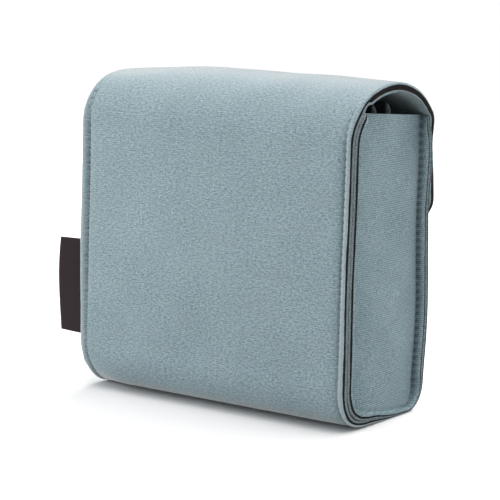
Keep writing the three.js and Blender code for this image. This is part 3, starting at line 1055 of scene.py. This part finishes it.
# Gussets: an end panel with a turned-out flange along three sides
gusset = {
    "panelX": halfWidth - 4.2 * mm,
    "foldRadius": 1.2 * mm,
    "flangeInset": 4.38 * mm,
    "face": (0.0, 0.7 * mm),
    "core": (0.71 * mm, 0.68 * mm),
    "lining": (1.4 * mm, 0.76 * mm),
    "faceStep": 0.5 * mm,
    "faceRounds": 40,
    "plainStep": 1.2 * mm,
    "plainRounds": 8,
    "frontDrop": 0.8 * mm,
    "tilt": 2.6 * mm,
    "mouthRise": 1.9 * mm,
    "mouthFront": 1.3 * mm,
    "pillow": 1.5 * mm,
    "waver": 0.12 * mm,
    "waverLengths": (5.2 * mm, 13 * mm),
    "cornerLift": 0.25 * mm,
    "backLift": 0.1 * mm,
    "ruffle": 0.1 * mm,
    "ruffleLengths": (3.1 * mm, 1.3 * mm),
    "grooveDepth": 0.42 * mm,
    "grooveWidth": 0.7 * mm,
    "holeDepth": 0.2 * mm,
    "frontDip": 0.7 * mm,
    "dipReach": 1.8 * mm,
    "creaseShade": 0.95,
    "creaseReach": 3 * mm,
    "rimCreaseReach": 2.3 * mm,
    "stitchPull": 0.12,
    "floorShade": 0.05,
    "hollowShade": 0.28,
    "hollowReach": 9 * mm,
    "mouthShade": 0.3,
    "mouthReach": 16 * mm,
    "relaxReach": 5 * mm,
    "rimRelaxReach": 2 * mm,
    "seed": 5,
}


def upFront(run):
    return falling(run, runFlat + 4 * mm, 20 * mm)


def gussetSection(depth):
    centreX = gusset["panelX"] + gusset["foldRadius"]
    centreInset = gusset["flangeInset"] + gusset["foldRadius"]
    radius = gusset["foldRadius"] + depth
    flange = [(x, centreInset - radius) for x in np.linspace(halfWidth, centreX, 9)]
    angles = np.linspace(0, math.pi / 2, 6)[1:]
    fold = [(centreX - radius * math.sin(a), centreInset - radius * math.cos(a)) for a in angles]
    return np.array(flange + fold)


def flangeLift(run, x):
    # the raw edge stands a little off the strip, most at the back bottom corner
    toRawEdge = rising(x, halfWidth - seam["inset"], seam["inset"])
    corner = gusset["cornerLift"] * hump(run, runBackBend - 9 * mm, runBackBend + 30 * mm)
    back = gusset["backLift"] * rising(run, runBackBend, 20 * mm)
    slow, fast = gusset["ruffleLengths"]
    ruffle = np.sin(run / slow) + 0.6 * np.sin(run / fast + 1.1)
    ruffle = gusset["ruffle"] * ruffle * hump(run, runFlat - 6 * mm, runBackBend + 34 * mm)
    return toRawEdge * (corner + back + ruffle)


def flangeGroove(run, x):
    # the bobbin side of the seam draws the gusset cloth in
    offset = x - (halfWidth - seam["inset"])
    groove = gusset["grooveDepth"] * bell(offset, gusset["grooveWidth"])
    return groove + gusset["holeDepth"] * bell(np.hypot(offset, toNextHole(run)), seam["holeWidth"])


def gussetRuns(step):
    sideCount = int(runFrontCorner / step)
    floorCount = int((runBackCorner - runFrontCorner) / step)
    runs = np.concatenate((
        np.linspace(gusset["frontDrop"], runFrontCorner, sideCount),
        np.linspace(runFrontCorner, runBackCorner, floorCount)[1:-1],
        np.linspace(runBackCorner, runSeamEnd, sideCount),
    ))
    return runs, sideCount, floorCount


def gussetRim(depth, side, runs):
    # the flange, from its raw edge to the fold, along front, floor and back
    section = gussetSection(depth)
    run = np.repeat(runs, len(section))
    x = np.tile(section[:, 0], len(runs))
    inset = np.tile(section[:, 1], len(runs)) + flangeLift(run, x)
    inFlange = np.clip((halfWidth - x) / (halfWidth - gusset["panelX"]), 0, 1.5)
    tilt = gusset["tilt"] * falling(run, runBackBend + 18 * mm, 20 * mm)
    x = x + tilt * inFlange - gusset["frontDip"] * upFront(run) * rising(inFlange, 0.4, 0.6)
    if depth == 0:
        inset = inset - flangeGroove(run, x)
    inset = inset * squeeze(run, x)
    wobble = cutWobble(run, side, gusset["seed"] + depth / mm) * squeeze(run, x) ** 2
    x = x + wobble * rising(x, halfWidth - 1 * mm, 1 * mm)
    y, z, outY, outZ = lineAt(run)
    out = swell(run, x) - inset
    x = x + rimShear(run, x, inset)
    raised = gusset["mouthFront"] * ease(inFlange) * falling(run, gusset["frontDrop"] + 9 * mm, 9 * mm)
    rim = np.column_stack((x, y + outY * out, z + outZ * out + raised))
    return rim.reshape(len(runs), len(section), 3), inFlange.reshape(len(runs), len(section))


def gussetPanel(rim, runs, sideCount, floorCount):
    # a surface stretched between the folds on three sides and the free top edge
    fold = rim[:, -1]
    front = fold[:sideCount]
    floor = fold[sideCount - 1:sideCount + floorCount - 1]
    back = fold[sideCount + floorCount - 2:][::-1]
    u = np.linspace(0, 1, floorCount)[None, :, None]
    v = np.linspace(0, 1, sideCount)[:, None, None]
    top = mix(front[0], back[0], u[0])
    top[:, 2] += gusset["mouthRise"] * u[0, :, 0] * falling(u[0, :, 0], 1, 0.06)
    panel = mix(front[:, None], back[:, None], u) + mix(top[None], floor[None], v)
    panel = panel - mix(mix(front[0], front[-1], v), mix(back[0], back[-1], v), u)
    u, v = u[..., 0], v[..., 0]
    bow = np.sin(math.pi * u)
    crowned = bow * np.sin(math.pi * mix(0.08, 1, v))
    inDepth, inHeight = gusset["waverLengths"]
    wavered = bow * np.sin(panel[..., 1] / inDepth + panel[..., 2] / inHeight)
    dip = (1 - bell(u * 2 * halfDepth, gusset["dipReach"])) * (1 - u) * upFront(runs[:sideCount, None])
    panel[..., 0] += gusset["pillow"] * crowned + gusset["waver"] * wavered + gusset["frontDip"] * dip
    return panel


def gussetShades(inFlange, runs, sideCount, floorCount):
    # how much painted shade lies in the crease beside the fold and across the panel near the front, then how
    # far the cloth relaxes round the foot
    u = np.linspace(0, 1, floorCount)[None]
    v = np.linspace(0, 1, sideCount)[:, None]
    fromFold = u * 2 * halfDepth
    toFold = (1 - inFlange) * (halfWidth - gusset["panelX"])
    sideRuns = runs[:sideCount, None]
    creaseShading = mix(gusset["floorShade"], gusset["creaseShade"], upFront(runs))
    creaseShading = creaseShading * falling(runs, runBackBend + 6 * mm, 10 * mm)
    stitches = np.cos(2 * math.pi * (runs - seam["start"]) / seam["pitch"])
    creaseShading = (creaseShading * (1 - gusset["stitchPull"] * (1 - stitches)))[:, None]
    near = bell(fromFold, gusset["creaseReach"])
    hollow = gusset["hollowShade"] + gusset["mouthShade"] * bell(sideRuns, gusset["mouthReach"])
    broad = hollow * upFront(sideRuns) * bell(fromFold, gusset["hollowReach"])
    rimShade = creaseShading * bell(toFold, gusset["rimCreaseReach"])
    panelShade = creaseShading[:sideCount] * near + broad * (1 - near)
    onFloor = rising(runs, runFrontCorner + 2 * mm, 8 * mm) * falling(runs, runBackCorner - 2 * mm, 8 * mm)
    rimSoft = onFloor[:, None] * bell(toFold, gusset["rimRelaxReach"])
    upPanel = (1 - v) * line["z"][0]
    panelSoft = bell(upPanel, gusset["relaxReach"]) * rising(u, 0, 0.2) * falling(u, 1, 0.2)
    return (rimShade, panelShade), (rimSoft, panelSoft)


def quads(index):
    corners = (index[:-1, :-1], index[:-1, 1:], index[1:, 1:], index[1:, :-1])
    return np.stack(corners, axis=-1).reshape(-1, 4)


def gussetSheet(name, layer, side):
    depth, thickness = gusset[layer]
    kind = "face" if layer == "face" else "plain"
    runs, rows, columns = gussetRuns(gusset[kind + "Step"])
    rim, inFlange = gussetRim(depth, side, runs)
    inner = gussetPanel(rim, runs, rows, columns)[:-1, 1:-1].reshape(-1, 3)
    shades, softs = (
        np.concatenate((onRim.ravel(), onPanel[:-1, 1:-1].ravel()))
        for onRim, onPanel in gussetShades(inFlange, runs, rows, columns))

    # the panel shares its outer points with the fold
    rimIndex = np.arange(inFlange.size).reshape(inFlange.shape)
    fold = rimIndex[:, -1]
    index = np.empty((rows, columns), int)
    index[:, 0] = fold[:rows]
    index[-1] = fold[rows - 1:rows + columns - 1]
    index[:, -1] = fold[rows + columns - 2:][::-1]
    index[:-1, 1:-1] = rimIndex.size + np.arange(len(inner)).reshape(rows - 1, columns - 2)
    spots = np.concatenate((rim.reshape(-1, 3), inner)) * (side, 1, 1)
    faces = np.concatenate((quads(rimIndex.T), quads(index)))
    mesh = bpy.data.meshes.new(name)
    mesh.from_pydata(spots.tolist(), [], faces.tolist())
    # the painted crease shade is stored on each point
    creaseShading = mesh.attributes.new("creaseShading", "FLOAT", "POINT")
    creaseShading.data.foreach_set("value", shades.astype(np.float32))
    piece = bpy.data.objects.new(name, mesh)
    bpy.context.scene.collection.objects.link(piece)
    faceOutwards(piece)
    if mesh.polygons[len(mesh.polygons) - 1].normal.x * side < 0:
        mesh.flip_normals()

    relaxed = piece.vertex_groups.new(name="relaxed")
    for spot in np.nonzero(softs > 0.02)[0]:
        relaxed.add([int(spot)], float(softs[spot]), "REPLACE")
    applyModifier(piece, "SMOOTH", factor=0.5, iterations=gusset[kind + "Rounds"], vertex_group="relaxed")
    piece.vertex_groups.clear()
    applyModifier(piece, "SOLIDIFY", thickness=thickness, offset=-1)
    smooth(piece)
    return piece


def makeGussets():
    parts = (("FaceCloth", "face", "gusset"), ("FoamCore", "core", "foam"), ("Lining", "lining", "lining"))
    for name, side in (("left", 1), ("right", -1)):
        for part, layer, finish in parts:
            piece = gussetSheet(name + "Gusset" + part, layer, side)
            install(piece, finish, "pouch", f"gusset_{name}_{laminate[layer][4]}")


makeGussets()
makeSeamThreads()
print("gussets sewn in")


# Label: a woven ribbon folded once, its ends in the seam
label = {
    "ply": 0.22 * mm,
    "rootGap": 0.12 * mm,
    "tipGap": 0.5 * mm,
    "tail": 2 * mm,
    "drop": 1.3 * mm,
    "relaxed": 2.2 * mm,
    "bow": 0.7 * mm,
    "camber": 0.5 * mm,
    "taper": 0.35 * mm,
    "turn": 0.06,     # share of the ribbon in its rounded fold
    "hinge": 3 * mm,
    "rows": 34,
    "columns": 56,
}


def makeLabel():
    low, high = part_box("label_loop")
    tailLow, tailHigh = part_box("label_tail")
    middleY = (tailLow.y + tailHigh.y) / 2
    reach = high.x - halfWidth + label["relaxed"]
    foot = low.z - label["drop"]
    piece = addGrid("labelRibbon", label["columns"], label["rows"])
    t, up = places(piece)[:, :2].T
    fromFold = np.abs(t)
    tip = reach - label["bow"] * up ** 2 - label["ply"]
    gap = mix(label["rootGap"], label["tipGap"], ease(1.4 - 1.4 * fromFold))
    straight = np.clip((1 - fromFold) / (1 - label["turn"]), 0, 1)
    angle = np.clip(fromFold / label["turn"], 0, 1) * math.pi / 2
    rounded = tip + gap / 2 * np.cos(angle)
    out = np.where(fromFold > label["turn"], mix(-label["tail"], tip, straight), rounded)
    across = np.sign(t) * gap / 2 * np.sin(angle)
    free = rising(out, 0, label["hinge"])
    camber = label["camber"] * free * (np.sin(up * 1.9 + 0.5) * out / reach - 0.4)
    z = (foot + high.z) / 2 + up * (high.z - foot) / 2 - label["taper"] * up * free * out / reach
    movePoints(piece, np.column_stack((halfWidth + out, middleY + across + camber, z)))
    applyModifier(piece, "SOLIDIFY", thickness=label["ply"], offset=0)
    faceOutwards(piece)
    smooth(piece)
    dress(piece, "label")
    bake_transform(piece)
    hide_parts("label_tail", "label_loop")


makeLabel()
print("label folded")


# Padded dividers: two faces of cloth over foam, sewn flat along the sides and the foot
divider = {
    "columns": 44,
    "rows": 52,
    "seamHalf": 0.45 * mm,
    "seamReach": 5 * mm,
    "footHalf": 0.9 * mm,
    "footReach": 6 * mm,
    "fullness": 0.92,
    "thinnest": 0.12 * mm,
    "corner": 3 * mm,
    "crowding": 1.25,     # draws the mesh lines towards the edges
    "sideHeld": 2.5 * mm,
    "footHeld": 3 * mm,
    "topHeld": 1 * mm,
    "pressure": 4.0,
    "quality": 5,
    "frames": 20,
    "swellCap": 0.7 * mm,
    "tapeRound": 0.25 * mm,
}


def leafShape(piece, low, high):
    flat = places(piece)
    radius = (high.y - low.y) / 2
    tall = high.z - low.z
    x = flat[:, 0] * high.x
    t = (flat[:, 1] + 1) / 2
    toSide = high.x - np.abs(x)
    sides = mix(divider["seamHalf"], radius, rising(toSide, 1 * mm, divider["seamReach"]))
    cap = np.sqrt(np.clip(1 - (1 - np.clip((1 - t) * tall / radius, 0, 1)) ** 2, 0, 1))
    foot = mix(divider["footHalf"] / radius, 1, ease(t * tall / divider["footReach"]))
    half = np.maximum(sides * foot * divider["fullness"] * mix(0.12, 1, cap), divider["thinnest"])
    y = (low.y + high.y) / 2 + np.where(flat[:, 2] > 0, -1, 1) * half
    corner = divider["corner"]
    drop = corner - np.sqrt(np.clip(corner ** 2 - np.clip(corner - toSide, 0, corner) ** 2, 0, None))
    z = low.z + t * tall - drop * rising(t, 0.8, 0.2)
    movePoints(piece, np.column_stack((x, y, z)))


def inflate(piece):
    before = places(piece)
    toSide = np.abs(before[:, 0]).max() - np.abs(before[:, 0])
    toFoot = before[:, 2] - before[:, 2].min()
    toTop = before[:, 2].max() - before[:, 2]
    held = (toSide < divider["sideHeld"]) | (toFoot < divider["footHeld"]) | (toTop < divider["topHeld"])
    sewn = piece.vertex_groups.new(name="sewn")
    sewn.add([int(spot) for spot in np.nonzero(held)[0]], 1.0, "REPLACE")
    pick(piece)
    cloth = piece.modifiers.new("cloth", "CLOTH")
    cloth.settings.use_pressure = True
    cloth.settings.uniform_pressure_force = divider["pressure"]
    cloth.settings.effector_weights.gravity = 0
    cloth.settings.vertex_group_mass = "sewn"
    cloth.settings.quality = divider["quality"]
    cloth.point_cache.frame_start = 1
    cloth.point_cache.frame_end = divider["frames"]
    for number in range(1, divider["frames"] + 1):
        bpy.context.scene.frame_set(number)
    bpy.ops.object.modifier_apply(modifier="cloth")
    bpy.context.scene.frame_set(1)
    moved = places(piece) - before
    length = np.linalg.norm(moved, axis=1, keepdims=True)
    capped = moved * np.minimum(1, divider["swellCap"] / np.maximum(length, 1e-9))
    movePoints(piece, before + capped)
    piece.vertex_groups.remove(piece.vertex_groups["sewn"])


def makeDividers():
    low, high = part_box("divider_1_cover")
    first = addGrid("divider1Leaf", divider["columns"], divider["rows"])
    edges = places(first)
    edges[:, :2] = np.sign(edges[:, :2]) * (1 - (1 - np.abs(edges[:, :2])) ** divider["crowding"])
    movePoints(first, edges)
    applyModifier(first, "SOLIDIFY", thickness=0.2, offset=0)
    leafShape(first, low, high)
    faceOutwards(first)
    inflate(first)
    applyModifier(first, "SUBSURF", levels=1, render_levels=1)
    leaves = [first]
    for number in (2, 3):
        pick(first)
        bpy.ops.object.duplicate()
        copy = named(f"divider{number}Leaf")
        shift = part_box(f"divider_{number}_cover")[0].y - low.y
        copy.data.transform(Matrix.Translation((0, shift, 0)))
        leaves.append(copy)
    for number, leaf in enumerate(leaves, 1):
        body = f"divider_{number}"
        smooth(leaf, 70)
        install(leaf, "divider", body, body + "_cover", body + "_pad")


def makeBaseTapes():
    for number in (1, 2, 3):
        low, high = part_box(f"divider_{number}_base_tape")
        tape = addBox(f"divider{number}BaseTape", high - low, (low + high) / 2)
        applyModifier(tape, "BEVEL", width=divider["tapeRound"], segments=3, limit_method="ANGLE")
        smooth(tape)
        install(tape, "divider", "pouch", f"divider_{number}_base_tape")


makeDividers()
makeBaseTapes()
print("dividers padded")


# Closure patches: a sewn base with a field of loops or hooks
patch = {
    "border": 2.5 * mm,
    "bevel": 0.08 * mm,
    "loopBase": 0.3 * mm,
    "hookBase": 0.35 * mm,
    "loopPitch": 0.85 * mm,
    "hookPitch": 1.15 * mm,
    "loopHeight": 0.03 * mm,      # over the front's outer cloth
    "hookHeight": -2.46 * mm,     # under the flap's outer cloth
    "loopRing": 0.3 * mm,
    "loopYarn": 0.07 * mm,
    "loopSunk": 0.2 * mm,
    "loopTall": 0.6 * mm,
    "loopJitter": 0.13 * mm,
    "loopLean": 0.35,
    "loopSeed": 11,
    "hookStem": 0.11 * mm,
    "hookPath": ((0, 0.55), (0.1, 0.3), (0.2, 0.1), (0.16, -0.14)),     # mm out, share of the height up
    "stitchPitch": 2.2 * mm,
    "stitchShare": 0.42,
    "thread": 0.12 * mm,
    "threadLift": 0.05 * mm,
    "plunge": 0.14 * mm,
}


def flatPatch(name, width, length, base):
    piece = addBox(name, (width, length, base), (0, 0, base / 2))
    editAll(piece)
    bpy.ops.mesh.subdivide(number_cuts=7)
    bpy.ops.object.mode_set(mode="OBJECT")
    applyModifier(piece, "BEVEL", width=patch["bevel"], segments=2, limit_method="ANGLE")
    return piece


def repeatOver(piece, width, length, pitch):
    columns, rows = int(width / pitch), int(length / pitch)
    repeat(piece, columns, (pitch, 0, 0))
    repeat(piece, rows, (0, pitch, 0))
    flat = places(piece)
    flat[:, :2] -= [(columns - 1) * pitch / 2, (rows - 1) * pitch / 2]
    movePoints(piece, flat)
    return columns * rows


def tousle(piece, copies):
    chance = np.random.default_rng(patch["loopSeed"])
    flat = places(piece).reshape(copies, -1, 3)
    centre = flat.mean(axis=1, keepdims=True) * (1, 1, 0)
    turn = chance.uniform(0, math.pi, copies)[:, None]
    x, y = flat[..., 0] - centre[..., 0], flat[..., 1] - centre[..., 1]
    height = flat[..., 2] * chance.uniform(0.75, 1.1, copies)[:, None]
    spread = chance.normal(0, patch["loopJitter"], (copies, 2))
    tilt = chance.normal(0, patch["loopLean"], (copies, 2))
    turned = np.stack((
        centre[..., 0] + x * np.cos(turn) - y * np.sin(turn) + spread[:, :1] + tilt[:, :1] * height,
        centre[..., 1] + x * np.sin(turn) + y * np.cos(turn) + spread[:, 1:] + tilt[:, 1:] * height,
        height,
    ), axis=-1)
    movePoints(piece, turned.reshape(-1, 3))


def loopField(width, length, base, top):
    deselectAll()
    bpy.ops.mesh.primitive_torus_add(
        major_radius=patch["loopRing"], minor_radius=patch["loopYarn"], major_segments=9, minor_segments=4,
        rotation=(math.pi / 2, 0, 0))
    bpy.ops.object.transform_apply(location=False, rotation=True, scale=False)
    field = named("loopField")
    copies = repeatOver(field, width, length, patch["loopPitch"])
    flat = places(field)
    flat[:, 2] = base + (flat[:, 2] + patch["loopSunk"]) * (top - base) / patch["loopTall"]
    movePoints(field, flat)
    tousle(field, copies)
    return field


def hookField(width, length, base, top):
    deselectAll()
    bpy.ops.mesh.primitive_circle_add(vertices=5, radius=patch["hookStem"], fill_type="NGON")
    field = named("hookField")
    editAll(field)
    for out, up in patch["hookPath"]:
        move = (out * mm, 0, up * (top - base))
        bpy.ops.mesh.extrude_region_move(TRANSFORM_OT_translate={"value": move})
    faceOutwards(field)
    flat = places(field)
    flat[:, 2] += base
    movePoints(field, flat)
    repeatOver(field, width, length, patch["hookPitch"])
    return field


def patchStitches(name, width, length, height):
    inset = patch["border"] / 2
    alongX, alongY = width - 2 * inset, length - 2 * inset
    rows = []
    for axis, reach, side in ((0, alongX, -1), (0, alongX, 1), (1, alongY, -1), (1, alongY, 1)):
        count = max(2, int(round(reach / patch["stitchPitch"])))
        step = reach / count
        row = addBall(name + str(len(rows)))
        ball = places(row)
        along = ball[:, 2] * step * patch["stitchShare"] - reach / 2 + step / 2
        lift = height - ball[:, 1] * patch["thread"] - patch["plunge"] * np.abs(ball[:, 2]) ** 3
        beside = ball[:, 0] * patch["thread"]
        if axis == 0:
            movePoints(row, np.column_stack((along, side * alongY / 2 - beside, lift)))
            repeat(row, count, (step, 0, 0))
        else:
            movePoints(row, np.column_stack((side * alongX / 2 + beside, along, lift)))
            repeat(row, count, (0, step, 0))
        rows.append(row)
    join(*rows)
    return named(name)


def layPatch(piece, middleRun, height, over):
    flat = places(piece)
    if over:
        flat = flat * (-1, 1, -1)
    movePoints(piece, flat + (0, middleRun, height))
    wrapOnStrip(piece, 60)


def makePatches():
    width, length = loopHigh.x - loopLow.x, loopHigh.z - loopLow.z
    inner = (width - 2 * patch["border"], length - 2 * patch["border"])
    loopRun = frontRun((loopLow.z + loopHigh.z) / 2)
    hookRun = leafRun((hookLow.z + hookHigh.z) / 2)
    halves = (
        ("loop", loopField, loopHigh.y - loopLow.y, loopRun, False, "pouch"),
        ("hook", hookField, hookHigh.y - hookLow.y, hookRun, True, "flap_front"),
    )
    for kind, makeField, tall, run, over, body in halves:
        base = patch[kind + "Base"]
        tape = flatPatch(kind + "Patch", width, length, base)
        join(tape, makeField(*inner, base, tall))
        thread = patchStitches(kind + "PatchStitches", width, length, base + patch["threadLift"])
        for piece, finish, node in ((tape, kind, "_patch"), (thread, "thread", "_patch_thread")):
            layPatch(piece, run, patch[kind + "Height"], over)
            install(piece, finish, body, kind + node)


makePatches()
print("closure patches sewn on")


# Camera, floor and light
camera = {
    "target": (-0.32 * mm, 1.26 * mm, 51.3 * mm),
    "azimuth": 214.34,
    "elevation": 9.36,
    "roll": 1.49,
    "distance": 674.5 * mm,
    "lens": 144,
    "sensor": 36,
    "nearest": 10 * mm,
}


def makeCamera():
    azimuth, elevation = math.radians(camera["azimuth"]), math.radians(camera["elevation"])
    back = Vector((
        math.sin(azimuth) * math.cos(elevation),
        -math.cos(azimuth) * math.cos(elevation),
        math.sin(elevation),
    ))
    data = bpy.data.cameras.new("camera")
    data.lens = camera["lens"]
    data.sensor_width = camera["sensor"]
    data.clip_start = camera["nearest"]
    eye = bpy.data.objects.new("camera", data)
    bpy.context.scene.collection.objects.link(eye)
    eye.location = Vector(camera["target"]) + back * camera["distance"]
    turn = (-back).to_track_quat("-Z", "Y").to_matrix()
    roll = Matrix.Rotation(math.radians(camera["roll"]), 3, "Z")
    eye.rotation_euler = (turn @ roll).to_euler()
    bpy.context.scene.camera = eye


light = {
    "sky": 0.4,
    "white": (1, 1, 1, 1),
    "keyStrength": 2.3,
    "keyAngle": 70,
    "keyFrom": (-0.3, 0.06, 1.0),
    "keyColour": (1, 0.96, 0.94),
    "sidePlace": (0.34, 0.34, 0.16),
    "sideSize": 0.3,
    "sidePower": 1.0,
    "rearPlace": (0.12, -0.55, 0.62),
    "rearSize": 0.7,
    "rearPower": 6.0,
    "floorSize": 40.0,
    "floorSeen": shade(248, 249, 250),
    "floorBounce": shade(208, 208, 208),
}


def addLamp(name, kind, energy, towards):
    data = bpy.data.lights.new(name, kind)
    data.energy = energy
    lamp = bpy.data.objects.new(name, data)
    bpy.context.scene.collection.objects.link(lamp)
    lamp.rotation_euler = Vector(towards).to_track_quat("Z", "Y").to_euler()
    return lamp


def seenPlainly(finish):
    # what the camera sees, also in a reflection or through something clear
    rays = [finish.add("LightPath", outlet=f"Is {kind} Ray") for kind in ("Camera", "Glossy", "Transmission")]
    return finish.maths("MAXIMUM", finish.maths("MAXIMUM", rays[0], rays[1]), rays[2])


def makeFloor():
    deselectAll()
    bpy.ops.mesh.primitive_plane_add(size=light["floorSize"])
    floor = named("floor")
    material, finish = newFinish("floorPaint")
    finish.surface({
        "Base Color": finish.blend(seenPlainly(finish), light["floorBounce"], light["floorSeen"]),
        "Roughness": 0.9,
        "Specular IOR Level": 0.1,
    })
    floor.data.materials.append(material)


def makeSky():
    # plain white where it is seen, dimmer as a light
    world = bpy.data.worlds.new("studio")
    bpy.context.scene.world = world
    world.use_nodes = True
    sky = Finish(world.node_tree)
    world.node_tree.nodes.clear()
    dim = sky.add("Background", None, {"Color": light["white"], "Strength": light["sky"]})
    full = sky.add("Background", None, {"Color": light["white"], "Strength": 1.0})
    mixed = sky.add("MixShader", None, {0: seenPlainly(sky), 1: dim, 2: full})
    output = world.node_tree.nodes.new("ShaderNodeOutputWorld")
    world.node_tree.links.new(mixed.socket, output.inputs["Surface"])


def makeLamps():
    sun = addLamp("softTop", "SUN", light["keyStrength"], light["keyFrom"])
    sun.data.color = light["keyColour"]
    sun.data.angle = math.radians(light["keyAngle"])
    for name in ("side", "rear"):
        place = Vector(light[name + "Place"])
        panel = addLamp(name + "Panel", "AREA", light[name + "Power"], place - Vector(camera["target"]))
        panel.data.size = light[name + "Size"]
        panel.location = place
        panel.visible_camera = False


makeCamera()
makeFloor()
makeSky()
makeLamps()
bpy.context.scene.view_settings.view_transform = "Standard"
print("camera and light set")
